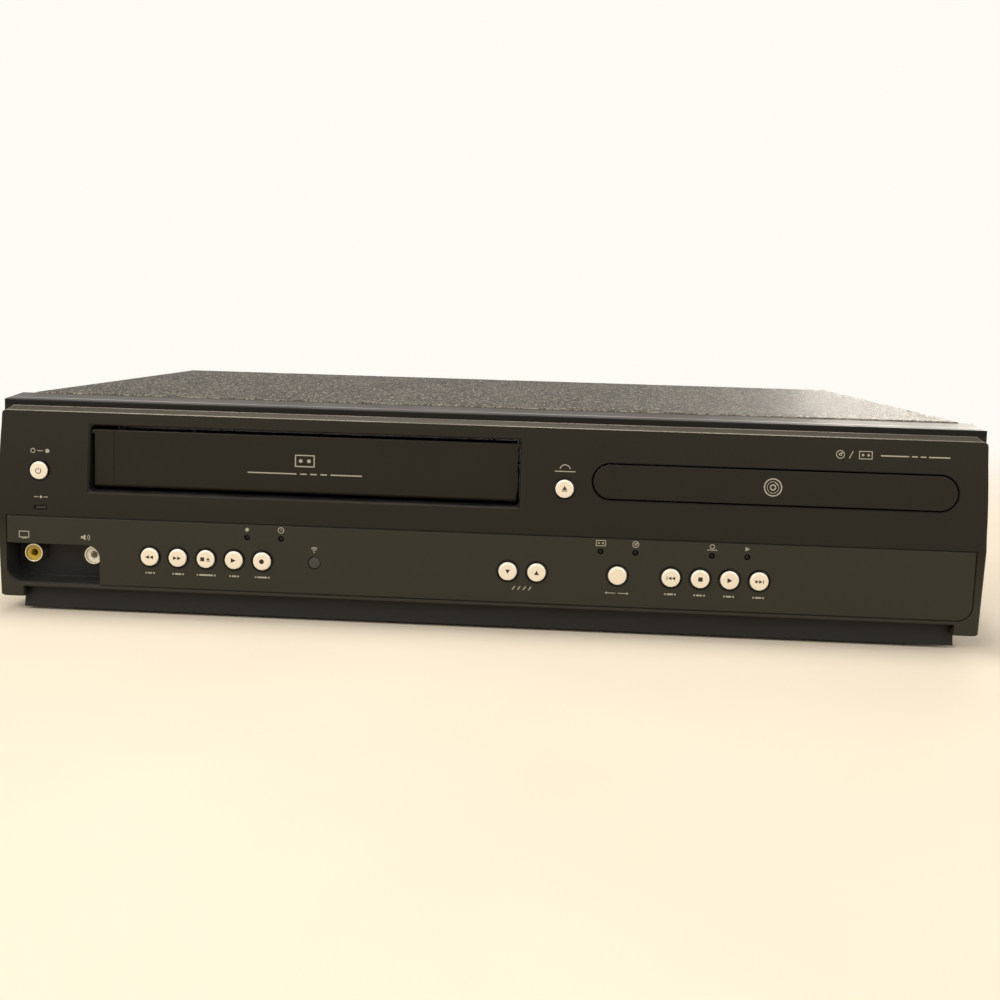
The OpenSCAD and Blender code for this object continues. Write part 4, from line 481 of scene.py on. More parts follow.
FINISHES = {}
FINISHES["bezel_plastic"] = moulded("bezel_plastic", SATIN_BLACK, 0.42, zones=face_colours)
FINISHES["door_plastic"] = moulded("door_plastic", DOOR_BLACK, 0.38, dust=0.05, shaded_sides=True)
FINISHES["black_plastic"] = moulded("black_plastic", INNER_BLACK, 0.5, grain_mm=0.6)
print("black plastics:", sorted(FINISHES))

# %% [markdown]
# The cover is folded sheet steel with a wrinkle paint: grains about half a millimetre wide in
# a dark pewter tone, each with its own little highlight. A cell pattern gives the grains, a
# finer noise breaks them up, and the height of the grains also steers roughness, so that
# grain tops glint and the valleys stay dull. The grain tops and one grain in six are also
# painted paler as painted glints, and the fold along the front is painted with a highlight.

# %% Wrinkle paint of the cover
PEWTER, GRAIN_GLINT = (0.0195, 0.0175, 0.0140), (0.068, 0.062, 0.051)
FOLD_GLINT, COVER_DUST = (0.62, 0.55, 0.44), (0.2, 0.195, 0.185)
GRAIN_MM, LUMP_MM, BREAK_UP_MM, PAINT_MM = 0.6, 1.0, 0.9, 0.45
PICKED = 0.84


def wrinkle_paint(name, colour, glint):
    """Pebbled paint: cells and noise as relief, grain tops and one grain in six painted paler as
    painted glints, a painted highlight on the front fold, and some dust. A cell's own random
    colour says which grain is picked: where it is over PICKED. Lumps of several grains stand
    proud and catch light that skims the surface: that is their sheen."""
    mat, tree, shader = finish(name, colour, 0.45, Specular_IOR_Level=0.06,
                               Specular_Tint=(1.0, 0.88, 0.72, 1.0), Sheen_Roughness=0.3,
                               Sheen_Tint=(1.0, 0.88, 0.70, 1.0))
    cells = pattern(tree, "Voronoi", GRAIN_MM, Randomness=1.0)
    lumps = pattern(tree, "Voronoi", LUMP_MM, Randomness=1.0)
    fine = pattern(tree, "Noise", BREAK_UP_MM, Detail=3.0, Roughness=0.65)
    cell_lot, lump_lot = (tree.nodes.new("ShaderNodeSeparateXYZ") for _ in range(2))
    tree.links.new(cells.outputs["Color"], cell_lot.inputs[0])
    tree.links.new(lumps.outputs["Color"], lump_lot.inputs[0])
    height = combine(tree, "ADD", product(tree, cells.outputs["Distance"], -0.8),
                     fine.outputs["Fac"])
    edge = soft_edge(tree, 0.5)
    relief(tree, shader, height, PAINT_MM, edge)
    spread(tree, height, shader.inputs["Roughness"], 0.55, 0.26, -0.1, 0.5)
    # grain tops and picked grains are painted paler: painted glints
    tops = spread(tree, height, None, 0.0, 0.35, 0.05, 0.5)
    pale = combine(tree, "GREATER_THAN", cell_lot.outputs["X"], PICKED)
    glinting = combine(tree, "MAXIMUM", pale, bright_edges(tree, edge, 0.92, 0.99))
    paint = blend_colour(tree, combine(tree, "MAXIMUM", tops, glinting), colour, glint)
    proud = combine(tree, "GREATER_THAN", lump_lot.outputs["Y"], PICKED)
    tree.links.new(product(tree, proud, 0.9), shader.inputs["Sheen Weight"])
    lit = spread(tree, lump_lot.outputs["Z"], None, 0.15, 1.0, 0.3, 0.9)
    # the front fold is painted bright: a painted highlight
    fold = product(tree, facing(tree, "Y", -0.5, -0.9), lit)
    paint = blend_colour(tree, fold, paint, FOLD_GLINT)
    dusty = blend_colour(tree, settled_dust(tree, 30, 0.12), paint, COVER_DUST)
    tree.links.new(dusty, shader.inputs["Base Color"])
    return mat


FINISHES["cover_paint"] = wrinkle_paint("cover_paint", PEWTER, GRAIN_GLINT)
print("grains of", GRAIN_MM, "mm on the cover")

# %% [markdown]
# The button caps are moulded in a pale plastic and sprayed with a fine pearl paint. They are
# smooth, so their bevel catches a bright ring of light, which is painted on as a paler bevel,
# and their sides behind the bevel are painted black as shade. Very small flakes show as a
# slight mottle, and fingers leave the middle a touch duller. The lamps and the window of the
# remote control are smoked plastic: a dark colour with a low roughness is enough, because
# nothing behind them shows.

# %% Pearl caps and lenses
# painted highlight on the bevel of the caps, and painted shade on their sides
PEARL, PEARL_BEVEL_HIGHLIGHT, CAP_SIDE_SHADE = (0.78, 0.69, 0.55), (0.95, 0.90, 0.79), (0.005, 0.0045, 0.004)
SMOKE, CLEAR_SMOKE = (0.006, 0.005, 0.006), (0.040, 0.039, 0.033)
CAP_SHADE_Y_MM = CREASE_Y_MM + 0.1


def pearl(name, colour):
    """Sprayed pearl: flake mottle in colour and roughness under a thin clear coat, painted paler
    on the bevel as a painted highlight. What lies behind the bevel is painted black as shade."""
    mat, tree, shader = finish(name, colour, 0.34, metal=0.15, Coat_Weight=0.35,
                               Coat_Roughness=0.12)
    flakes = pattern(tree, "Voronoi", 0.12, Randomness=1.0)
    darker = tuple(0.86 * c for c in colour)
    # behind the bevel the cap is painted black: painted shade
    hidden = beyond(tree, axes(tree)["Y"], CAP_SHADE_Y_MM)
    sprayed = blend_colour(tree, flakes.outputs["Distance"], colour, darker)
    # the bevel is painted paler: a painted highlight
    sprayed = blend_colour(tree, facing(tree, "Y", -0.97, -0.75), sprayed, PEARL_BEVEL_HIGHLIGHT)
    tree.links.new(blend_colour(tree, hidden, sprayed, CAP_SIDE_SHADE), shader.inputs["Base Color"])
    smudge = pattern(tree, "Noise", 4, Detail=3.0)
    spread(tree, smudge.outputs["Fac"], shader.inputs["Roughness"], 0.27, 0.42)
    relief(tree, shader, flakes.outputs["Distance"], 0.004, soft_edge(tree, 0.2))
    return mat


def tinted_lens(name, colour, shine=0.15, swirl_mm=2.5, depth_mm=0.01):
    """Smoked lens, nearly black: smooth, with a moulding swirl of depth_mm."""
    mat, tree, shader = finish(name, colour, 0.1, Specular_IOR_Level=shine)
    swirl = pattern(tree, "Noise", swirl_mm, Detail=2.0)
    spread(tree, swirl.outputs["Fac"], shader.inputs["Roughness"], 0.05, 0.16)
    relief(tree, shader, swirl.outputs["Fac"], depth_mm, soft_edge(tree, 0.15))
    return mat


FINISHES["cap_plastic"] = pearl("cap_plastic", PEARL)
FINISHES["smoked_lens"] = tinted_lens("smoked_lens", SMOKE)
FINISHES["window_lens"] = tinted_lens("window_lens", CLEAR_SMOKE, 0.3, 1.0, 0.12)
print("painted shade behind Y", round(CAP_SHADE_Y_MM, 2), "mm")

# %% [markdown]
# Phono jacks are colour coded. One node holds all the insulators, so the colour follows from
# where a jack sits: the left front jack is yellow, the one beside it white, and at the back
# the columns alternate. A chain of colour mixes switched by position does it.

# %% Colour coded insulators
YELLOW, WHITE, RED = (0.48, 0.33, 0.025), (0.84, 0.78, 0.68), (0.5, 0.02, 0.02)
GREEN, BLUE, ORANGE = (0.02, 0.28, 0.06), (0.02, 0.07, 0.4), (0.7, 0.2, 0.02)
BLACK = (0.02, 0.02, 0.02)
JACK_COLOURS = [(-190, None, WHITE), (-250, 0, BLACK), (-178, 0, YELLOW), (-153, 0, WHITE),
                (-139, 0, RED), (-119, 0, GREEN), (-99, 0, BLUE), (-85, 0, RED),
                (-65, 0, YELLOW), (-45, 0, WHITE), (-31, 0, RED), (-12, 0, ORANGE),
                (-12, 49, BLACK)]


def coded(name, first, steps):
    """Glossy plastic, first of all in one colour, that changes at each (x in mm, z in mm,
    colour) step: a point behind the middle of the case takes the last colour whose x and z it
    lies beyond. Steps with no z count for the front jacks."""
    mat, tree, shader = finish(name, first, 0.3)
    x, y, z = (axes(tree)[k] for k in "XYZ")
    behind = combine(tree, "GREATER_THAN", y, 0.0)
    colour = first
    for x_mm, z_mm, shade in steps:
        right_of = combine(tree, "GREATER_THAN", x, x_mm * MM)
        if z_mm is None:
            where = combine(tree, "GREATER_THAN", right_of, behind)
        else:
            high = combine(tree, "GREATER_THAN", z, z_mm * MM)
            where = product(tree, right_of, high, behind)
        colour = blend_colour(tree, where, colour, shade)
    tree.links.new(colour, shader.inputs["Base Color"])
    marks = pattern(tree, "Noise", 1.5, Detail=4.0)
    spread(tree, marks.outputs["Fac"], shader.inputs["Roughness"], 0.22, 0.42)
    relief(tree, shader, marks.outputs["Fac"], 0.01, soft_edge(tree, 0.2))
    return mat


FINISHES["coded_plastic"] = coded("coded_plastic", YELLOW, JACK_COLOURS)
print("colour steps of the jacks:", len(JACK_COLOURS))

# %% [markdown]
# Metals differ by how they were worked. Zinc plated sheet is dull with a spangle and rolling
# streaks, nickel plating is smooth and warm, turned aluminium shows rings, and spring steel
# is drawn bright.

# %% Metals
def sheet_metal(name, colour, rough, streak=(1, 6, 1), spangle_mm=5.0, tone=0.75):
    """Rolled sheet: streaks along the rolling direction and a faint crystal spangle."""
    mat, tree, shader = finish(name, colour, rough, metal=1.0)
    streaks = pattern(tree, "Noise", 1.2, streak, Detail=5.0)
    cells = pattern(tree, "Voronoi", spangle_mm, Randomness=1.0)
    both = combine(tree, "ADD", product(tree, streaks.outputs["Fac"], 0.5),
                   product(tree, cells.outputs["Distance"], 0.5))
    spread(tree, both, shader.inputs["Roughness"], rough - 0.1, rough + 0.14)
    dull = tuple(tone * c for c in colour)
    tree.links.new(blend_colour(tree, spread(tree, both, None, 0, 1), colour, dull),
                   shader.inputs["Base Color"])
    relief(tree, shader, streaks.outputs["Fac"], 0.01, soft_edge(tree, 0.25))
    return mat


def turned_metal(name, colour, rough):
    """Turned or ground metal: fine lines round the axis drawn as stretched noise."""
    mat, tree, shader = finish(name, colour, rough, metal=1.0)
    lines = pattern(tree, "Noise", 0.5, (1, 1, 8), Detail=3.0)
    spread(tree, lines.outputs["Fac"], shader.inputs["Roughness"], rough - 0.07, rough + 0.1)
    stains = pattern(tree, "Noise", 8, Detail=4.0)
    tree.links.new(blend_colour(tree, spread(tree, stains.outputs["Fac"], None, 0, 1), colour,
                                tuple(0.8 * c for c in colour)), shader.inputs["Base Color"])
    relief(tree, shader, lines.outputs["Fac"], 0.006, soft_edge(tree, 0.2))
    return mat


FINISHES["zinc_sheet"] = sheet_metal("zinc_sheet", (0.6, 0.61, 0.6), 0.36)
FINISHES["rear_paint"] = moulded("rear_paint", (0.022, 0.022, 0.023), 0.46, grain_mm=0.9,
                                 depth_mm=0.03)
FINISHES["nickel"] = turned_metal("nickel", (0.72, 0.66, 0.55), 0.26)
FINISHES["machined_aluminium"] = turned_metal("machined_aluminium", (0.76, 0.77, 0.78), 0.24)
FINISHES["spring_steel"] = turned_metal("spring_steel", (0.62, 0.62, 0.63), 0.16)
FINISHES["brass_turned"] = turned_metal("brass_turned", (0.72, 0.55, 0.25), 0.22)
FINISHES["black_screws"] = turned_metal("black_screws", (0.08, 0.08, 0.085), 0.34)
print("finishes so far:", len(FINISHES))

# %% [markdown]
# Rubber, acetal gears and circuit boards lie inside and show when the tray or the cassette
# door is open. Rubber is matt and picks up dust, acetal is slightly waxy, and a board has
# copper tracks that stand up under its varnish.

# %% Rubber, acetal and boards
RUBBER_DUST, GREASE = (0.12, 0.12, 0.115), (0.55, 0.5, 0.38)
VARNISH_GREEN, TRACK_GREEN = (0.012, 0.1, 0.035), (0.03, 0.2, 0.07)
BOARD_BROWN, TRACK_BROWN = (0.3, 0.16, 0.05), (0.4, 0.26, 0.1)


def rubber(name, colour):
    """Matt rubber with a speckle of dust and a fine moulded tooth."""
    mat, tree, shader = finish(name, colour, 0.78)
    tooth = pattern(tree, "Noise", 0.5, Detail=3.0)
    spread(tree, tooth.outputs["Fac"], shader.inputs["Roughness"], 0.66, 0.88)
    specks = pattern(tree, "Voronoi", 2.0, Randomness=1.0)
    dust = spread(tree, specks.outputs["Distance"], None, 0.5, 0.0, 0.0, 0.16)
    tree.links.new(blend_colour(tree, dust, colour, RUBBER_DUST), shader.inputs["Base Color"])
    relief(tree, shader, tooth.outputs["Fac"], 0.03, soft_edge(tree, 0.3))
    return mat


def acetal(name, colour):
    """Natural acetal: waxy white that lets a little light in, with faint grease stains."""
    mat, tree, shader = finish(name, colour, 0.38, Subsurface_Weight=0.15, Subsurface_Scale=0.002)
    stains = pattern(tree, "Noise", 5, Detail=5.0)
    tree.links.new(blend_colour(tree, spread(tree, stains.outputs["Fac"], None, 0, 1, 0.5, 0.8),
                                colour, GREASE), shader.inputs["Base Color"])
    spread(tree, stains.outputs["Fac"], shader.inputs["Roughness"], 0.28, 0.5)
    relief(tree, shader, stains.outputs["Fac"], 0.01, soft_edge(tree, 0.15))
    return mat


def circuit_board(name, varnish, track):
    """Board: straight tracks as stepped bands in two directions, raised under the varnish."""
    mat, tree, shader = finish(name, varnish, 0.35, Coat_Weight=0.3, Coat_Roughness=0.2)
    across = pattern(tree, "Voronoi", 7, (1, 0.15, 1), Randomness=1.0)
    along = pattern(tree, "Voronoi", 7, (0.15, 1, 1), Randomness=1.0)
    bands = combine(tree, "MAXIMUM",
                    combine(tree, "GREATER_THAN", across.outputs["Distance"], 0.55),
                    combine(tree, "GREATER_THAN", along.outputs["Distance"], 0.55))
    tree.links.new(blend_colour(tree, bands, varnish, track), shader.inputs["Base Color"])
    uneven = pattern(tree, "Noise", 12, Detail=3.0)
    spread(tree, uneven.outputs["Fac"], shader.inputs["Roughness"], 0.28, 0.45)
    relief(tree, shader, bands, 0.04)
    return mat


FINISHES["foot_rubber"] = rubber("foot_rubber", (0.016, 0.016, 0.016))
FINISHES["soft_rubber"] = rubber("soft_rubber", (0.012, 0.012, 0.012))
FINISHES["white_plastic"] = acetal("white_plastic", (0.78, 0.77, 0.72))
FINISHES["board_green"] = circuit_board("board_green", VARNISH_GREEN, TRACK_GREEN)
FINISHES["board_brown"] = circuit_board("board_brown", BOARD_BROWN, TRACK_BROWN)
print("finishes made:", len(FINISHES))

# %% [markdown]
# The record names a slot for each node. The finish with the same name goes on it, apart from
# the rear panel, which is the same sheet metal under a coat of black paint, and the window for
# the remote control, which is a clearer lens than those of the lamps.

# %% Dress every node
PAINTED = {"rear_panel": "rear_paint", "ir_window": "window_lens"}


def dress(node, material):
    """Puts one material into a node's slots without touching its mesh."""
    slots = frame["nodes"][node].material_slots
    if not slots:
        frame["nodes"][node].data.materials.append(material)
    for slot in frame["nodes"][node].material_slots:
        slot.link = "OBJECT"
        slot.material = material


for part in frame["record"]["subparts"]:
    node = part["node"]
    dress(node, FINISHES[PAINTED.get(node, part["material_slot"])])

# %% [markdown]
# Every sign on such a case is one thin coat of ink from a printing screen. Ink laid on in the
# material would need a mask for each sign, so here a sign is a very flat closed solid. Two
# kinds are enough: a filled outline with a wall round it, and a line, which is a rectangle
# carried along a path.

# %% Flat solids
LINE_MM = 0.35


def filled(outline):
    """Solid of an outline of n points (x, z): the outline at depth 0 and again at depth 1,
    joined by n walls. Gives its points (x, z, depth) and faces."""
    flat = np.asarray(outline, float)
    here, count = np.arange(len(flat)), len(flat)
    after = (here + 1) % count
    points = np.vstack([np.column_stack([flat, np.full(count, d)]) for d in (0.0, 1.0)])
    walls = np.column_stack([here, after, after + count, here + count])
    return points, [here.tolist(), (here[::-1] + count).tolist()] + walls.tolist()


def line(path, width, closed=False):
    """Solid of a line: at each path point a rectangle of four corners, left and right at both
    depths. A corner lies off the path along the mean normal of its two steps, by half the width
    over the cosine of half the turn, so bends are mitred. Neighbours share four faces."""
    path = np.asarray(path, float)
    if closed:
        before, after = path - np.roll(path, 1, axis=0), np.roll(path, -1, axis=0) - path
    else:
        step = np.diff(path, axis=0)
        before, after = np.vstack([step[:1], step]), np.vstack([step, step[-1:]])
    before, after = (v / np.linalg.norm(v, axis=1, keepdims=True) for v in (before, after))
    mean = before + after
    mean /= np.linalg.norm(mean, axis=1, keepdims=True)
    half = 0.5 * width / np.maximum(0.35, np.sum(mean * after, axis=1))[:, None]
    side = np.column_stack([-mean[:, 1], mean[:, 0]]) * half
    corners = [(path + side, 0.0), (path - side, 0.0), (path - side, 1.0), (path + side, 1.0)]
    points = np.stack([np.column_stack([p, np.full(len(p), d)]) for p, d in corners], axis=1)
    here = np.arange(len(path) if closed else len(path) - 1)
    after = (here + 1) % len(path)
    faces = [f for k in range(4) for f in np.column_stack(
        [4 * here + k, 4 * after + k, 4 * after + (k + 1) % 4, 4 * here + (k + 1) % 4]).tolist()]
    if not closed:
        last = 4 * (len(path) - 1)
        faces += [[0, 1, 2, 3], [last + 3, last + 2, last + 1, last]]
    return points.reshape(-1, 3), faces


print("a straight line has", len(line([(0, 0), (1, 0)], LINE_MM)[0]), "corners")

# %% [markdown]
# All signs are put together from a few plain shapes: arcs, frames, bars, discs, rings and
# pointers, and the cassette, which comes back in several places. Each is worked out round its
# own middle, in millimetres.

# %% Plain shapes
def arc(x, z, across, start=0.0, stop=360.0, count=28):
    """Points of a circle round (x, z) from start to stop degrees; a full one isn't repeated."""
    full = stop - start >= 360.0
    angle = np.radians(np.linspace(start, stop, count, endpoint=not full))
    return np.column_stack([x + across / 2 * np.cos(angle), z + across / 2 * np.sin(angle)])


def frame_path(x, z, wide, high):
    """The four corners of an upright rectangle round (x, z), anticlockwise."""
    return [(x + i * wide / 2, z + k * high / 2) for i, k in ((-1, -1), (1, -1), (1, 1), (-1, 1))]


def bar(x, z, wide, high):
    """Filled upright rectangle."""
    return filled(frame_path(x, z, wide, high))


def disc(x, z, across):
    """Filled circle."""
    return filled(arc(x, z, across))


def ring(x, z, across, width=LINE_MM):
    """Circle drawn as a line."""
    return line(arc(x, z, across), width, closed=True)


def pointer(x, z, along, across, towards=0):
    """Filled triangle whose tip lies towards an angle in degrees: 0 right, 90 up, 180 left."""
    turn = math.radians(towards)
    raw = np.array([(-along / 2, -across / 2), (along / 2, 0), (-along / 2, across / 2)])
    cos, sin = math.cos(turn), math.sin(turn)
    return filled(raw @ np.array([(cos, sin), (-sin, cos)]) + (x, z))


def tape(x, z, wide, high, width=LINE_MM):
    """Cassette: a frame with its two hubs."""
    return [line(frame_path(x, z, wide, high), width, closed=True),
            disc(x - 0.22 * wide, z, 0.34 * high), disc(x + 0.22 * wide, z, 0.34 * high)]


print("a disc has", len(disc(0, 0, 1)[0]), "corners")

# %% [markdown]
# A sign follows the curve of the face, because its depth is worked out from the height of each
# point. The ink stands a hair in front of the plastic and sinks a little into it, so that the
# two never share a surface, and it rides on the body whose surface it is printed on.

# %% Ink on a surface
INK_OUT_MM, INK_IN_MM = 0.03, 0.05


def face_y(z):
    """Y of the face at height z: it leans back below the crease in a straight line, and curves
    back above it, slowly at first, with a power of the height over the crease."""
    over = np.clip((z - CREASE_Z_MM) / (LEDGE_Z_MM - CREASE_Z_MM), 0.0, None)
    under = np.clip((CREASE_Z_MM - z) / (CREASE_Z_MM - PLINTH_Z_MM), 0.0, None)
    return CREASE_Y_MM + FACE_CURVE_MM * over ** FACE_POWER + FACE_LEAN_MM * under


def level_y(y_mm):
    """Surface of a flat upright front: the same Y at every height."""
    return lambda z: np.full(np.shape(z), y_mm)


def print_sign(name, shapes, surface, body, ink):
    """One object of several flat solids. Surface gives the Y in mm of the plastic at each
    height; the ink reaches from a little in front of it to a little inside."""
    rows, faces, count = [], [], 0
    for points, polygons in shapes:
        rows.append(points)
        faces += [[count + corner for corner in polygon] for polygon in polygons]
        count += len(points)
    flat = np.vstack(rows)
    y = surface(flat[:, 1]) - INK_OUT_MM + flat[:, 2] * (INK_OUT_MM + INK_IN_MM)
    mesh = bpy.data.meshes.new(name)
    mesh.from_pydata((np.column_stack([flat[:, 0], y, flat[:, 1]]) * MM).tolist(), [], faces)
    solid = bmesh.new()
    solid.from_mesh(mesh)
    bmesh.ops.recalc_face_normals(solid, faces=solid.faces)
    solid.to_mesh(mesh)
    solid.free()
    sign = bpy.data.objects.new(name, mesh)
    bpy.context.scene.collection.objects.link(sign)
    mesh.materials.append(ink)
    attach(sign, body)
    return sign


print("face at the ledge", round(float(face_y(np.array(LEDGE_Z_MM))), 2), "mm")

# %% [markdown]
# Printing ink is a flat coat with a slight tooth, and it wears where fingers touch. There are
# four inks: a warm pale grey on the black panels, the same thinned to a dim tone inside the
# power lamp as painted light, a dark brown on the pearl caps, and a black laid round the holes
# of the caps and the tray as painted shade.

# %% Inks
def printing_ink(name, colour, worn_colour):
    """Screen ink: matt, with a fine mesh pattern and thin places where it is worn."""
    mat, tree, shader = finish(name, colour, 0.6, Specular_IOR_Level=0.2)
    thin = pattern(tree, "Noise", 0.7, Detail=3.0)
    worn = spread(tree, thin.outputs["Fac"], None, 0.0, 1.0, 0.55, 0.75)
    tree.links.new(blend_colour(tree, worn, colour, worn_colour), shader.inputs["Base Color"])
    spread(tree, thin.outputs["Fac"], shader.inputs["Roughness"], 0.5, 0.72)
    relief(tree, shader, thin.outputs["Fac"], 0.005)
    return mat


PALE_INK = printing_ink("pale_ink", (0.33, 0.305, 0.245), (0.20, 0.185, 0.15))
BROWN_INK = printing_ink("brown_ink", (0.030, 0.020, 0.015), (0.09, 0.07, 0.055))
# a dim ink for painted light inside the power lamp
LAMP_LIGHT_INK = printing_ink("lamp_light_ink", (0.060, 0.056, 0.047), (0.040, 0.037, 0.031))
# a black ink for the painted shade round the holes
SHADOW_INK = printing_ink("shadow_ink", (0.0035, 0.0030, 0.0025), (0.006, 0.005, 0.004))
print("inks:", ", ".join(ink.name for ink in (PALE_INK, BROWN_INK, LAMP_LIGHT_INK, SHADOW_INK)))

# %% [markdown]
# The caps carry the plain signs that every player uses: triangles for forwards and back, a
# square for stop, a disc for record, a triangle over a bar for eject. Each sign rides on its
# own button, so it goes in with the cap.

# %% Signs on the caps
def middle_of(node):
    """X and Z in mm of the middle of a node's box."""
    low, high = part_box(node)
    return (low.x + high.x) / 2 / MM, (low.z + high.z) / 2 / MM


def cap_shapes(kind, x, z):
    """The flat shapes of one kind of sign round (x, z)."""
    if kind in ("back", "forward"):
        way = 180 if kind == "back" else 0
        return [pointer(x - 0.95, z, 1.8, 1.7, way), pointer(x + 0.95, z, 1.8, 1.7, way)]
    if kind in ("first", "last"):
        way, end = (180, -1) if kind == "first" else (0, 1)
        return [pointer(x - 0.8 - 0.25 * end, z, 1.55, 1.6, way),
                pointer(x + 0.8 - 0.25 * end, z, 1.55, 1.6, way), bar(x + 1.75 * end, z, 0.32, 1.7)]
    if kind == "eject":
        return [pointer(x, z + 0.5, 1.9, 2.3, 90), bar(x, z - 0.9, 2.3, 0.36)]
    if kind == "stop_eject":
        return [bar(x - 1.3, z, 1.75, 1.75), pointer(x + 1.35, z + 0.3, 1.15, 1.7, 90),
                bar(x + 1.35, z - 0.72, 1.7, 0.28)]
    if kind == "standby":
        return [line(arc(x, z - 0.1, 2.4, 125, 415), 0.34), bar(x, z + 0.75, 0.34, 1.3)]
    return {"stop": [bar(x, z, 1.9, 1.9)], "record": [disc(x, z, 2.2)],
            "play": [pointer(x, z, 2.2, 2.2)], "down": [pointer(x, z, 1.9, 2.2, 270)],
            "up": [pointer(x, z, 1.9, 2.2, 90)]}[kind]


CAP_SIGNS = {"standby": "standby", "rewind": "back", "forward": "forward",
             "stop_eject": "stop_eject", "play": "play", "record": "record",
             "tracking_down": "down", "tracking_up": "up", "open_close": "eject",
             "previous": "first", "disc_stop": "stop", "disc_play": "play", "next": "last"}
for button, kind in CAP_SIGNS.items():
    node = button + "_button"
    print_sign(button + "_sign", cap_shapes(kind, *middle_of(node)),
               level_y(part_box(node)[0].y / MM), node, BROWN_INK)
print("signs on", len(CAP_SIGNS), "caps")

# %% [markdown]
# Beside the keys such a case needs signs for its lamps and sockets. They are pictures made
# from the same few flat shapes: a cassette, a disc, a clock, a television, a loudspeaker. Each
# is a function of its middle, so that a sign can be set wherever it belongs.

# %% Small pictures
def dash_row(x, z, lengths, gap, high=0.5):
    """Bars of the given lengths side by side, centred on x."""
    total = sum(lengths) + gap * (len(lengths) - 1)
    left, bars = x - total / 2, []
    for length in lengths:
        bars.append(bar(left + length / 2, z, length, high))
        left += length + gap
    return bars


def disc_picture(x, z, across, width=LINE_MM):
    """Optical disc: rim, hub and a sheen line between them."""
    return [ring(x, z, across, width), ring(x, z, 0.3 * across, width),
            line(arc(x, z, 0.62 * across, 20, 70, 8), width)]


def screen_picture(x, z):
    """Television: a frame on a short foot."""
    return [line(frame_path(x, z + 0.3, 4.4, 2.7), LINE_MM, closed=True),
            bar(x, z - 1.5, 2.4, LINE_MM)]


def speaker_picture(x, z):
    """Loudspeaker: a box and cone in one outline, with two sound waves."""
    cone = [(x - 2.3, z - 0.55), (x - 1.4, z - 0.55), (x - 0.2, z - 1.4), (x - 0.2, z + 1.4),
            (x - 1.4, z + 0.55), (x - 2.3, z + 0.55)]
    return [filled(cone)] + [line(arc(x, z, across, -50, 50, count), 0.32)
                             for across, count in ((1.7, 10), (3.4, 12))]


def clock_picture(x, z):
    """Timer: a dial with two hands."""
    return [ring(x, z, 2.5, 0.3), line([(x, z + 0.85), (x, z), (x + 0.6, z)], 0.28)]


def waves_picture(x, z):
    """Remote control: a dot with three waves above it."""
    return [disc(x, z - 1.0, 0.6)] + [line(arc(x, z - 1.0, across, 50, 130, 10), 0.3)
                                      for across in (1.9, 3.1, 4.3)]


def arrow(x, z, length, towards):
    """Thin shaft with a small head, towards 0 degrees (right) or 180 (left)."""
    way = 1 if towards == 0 else -1
    return [bar(x - 0.4 * way, z, length - 0.8, 0.32),
            pointer(x + way * (length / 2 - 0.5), z, 1.0, 1.2, towards)]


print("shapes in a remote control sign:", len(waves_picture(0, 0)))

# %% [markdown]
# Holes in a dark face look crisp because their edges lie in shadow. That shadow is painted: a
# thin black line round the opening of the tray and round each key. The line of the tray is a
# stadium: two half circles whose ends are joined.

# %% Lines round the openings
TRAY_X, TRAY_Z, TRAY_WIDE_MM, TRAY_HIGH_MM = 126.8, 69.2, 157.7, 16.4
KEY_RING_MM = 9.9
KEYS = [*CAP_SIGNS, "source"]

half_high = TRAY_HIGH_MM / 2 + 0.2
end_x = TRAY_WIDE_MM / 2 + 0.2 - half_high
stadium = np.vstack([arc(TRAY_X + end_x, TRAY_Z, 2 * half_high, -90, 90, 24),
                     arc(TRAY_X - end_x, TRAY_Z, 2 * half_high, 90, 270, 24)])
hole_shadow_rings = [line(stadium, 0.4, closed=True)]
hole_shadow_rings += [ring(*middle_of(name + "_button"), KEY_RING_MM, 0.6) for name in KEYS]
print_sign("hole_shadow_rings", hole_shadow_rings, face_y, "player", SHADOW_INK)
print("openings outlined:", len(hole_shadow_rings))

# %% [markdown]
# On the face the prints say what each control or lamp is for. Where a sign belongs to a key,
# its place comes from the key's own box, so it would move with it. The others stand over their
# lamp or socket. Short bars under the keys take the room of a word and need no language.

# %% Prints on the face
POWER_LAMP_X, VIDEO_X, AUDIO_X, REMOTE_X = -198.2, -206.1, -177.6, -73.9
RECORD_LAMP_X, TIMER_LAMP_X, TAPE_LAMP_X = -104.2, -88.9, 52.9
DISC_LAMP_X, DISC_IN_LAMP_X, PLAY_LAMP_X = 68.1, 101.3, 116.6
EJECT_SIGN_Z, STANDBY_SIGN_Z, POWER_SIGN_Z, LAMP_SIGN_Z = 73.0, 73.9, 53.2, 41.9
JACK_SIGN_Z, REMOTE_SIGN_Z, CORNER_SIGN_Z, UNDER_KEY_MM = 35.5, 33.9, 84.6, 7.5
CORNER_DISC_X, CORNER_STROKE_X = 154.6, (158.4, 160.0)
CORNER_TAPE_X, CORNER_ROW_X = 165.4, 186.5
KEY_BARS = {"rewind": 4.2, "forward": 5.2, "stop_eject": 8.6, "play": 4.4, "record": 6.6,
            "previous": 5.0, "disc_stop": 5.0, "disc_play": 4.6, "next": 5.0}

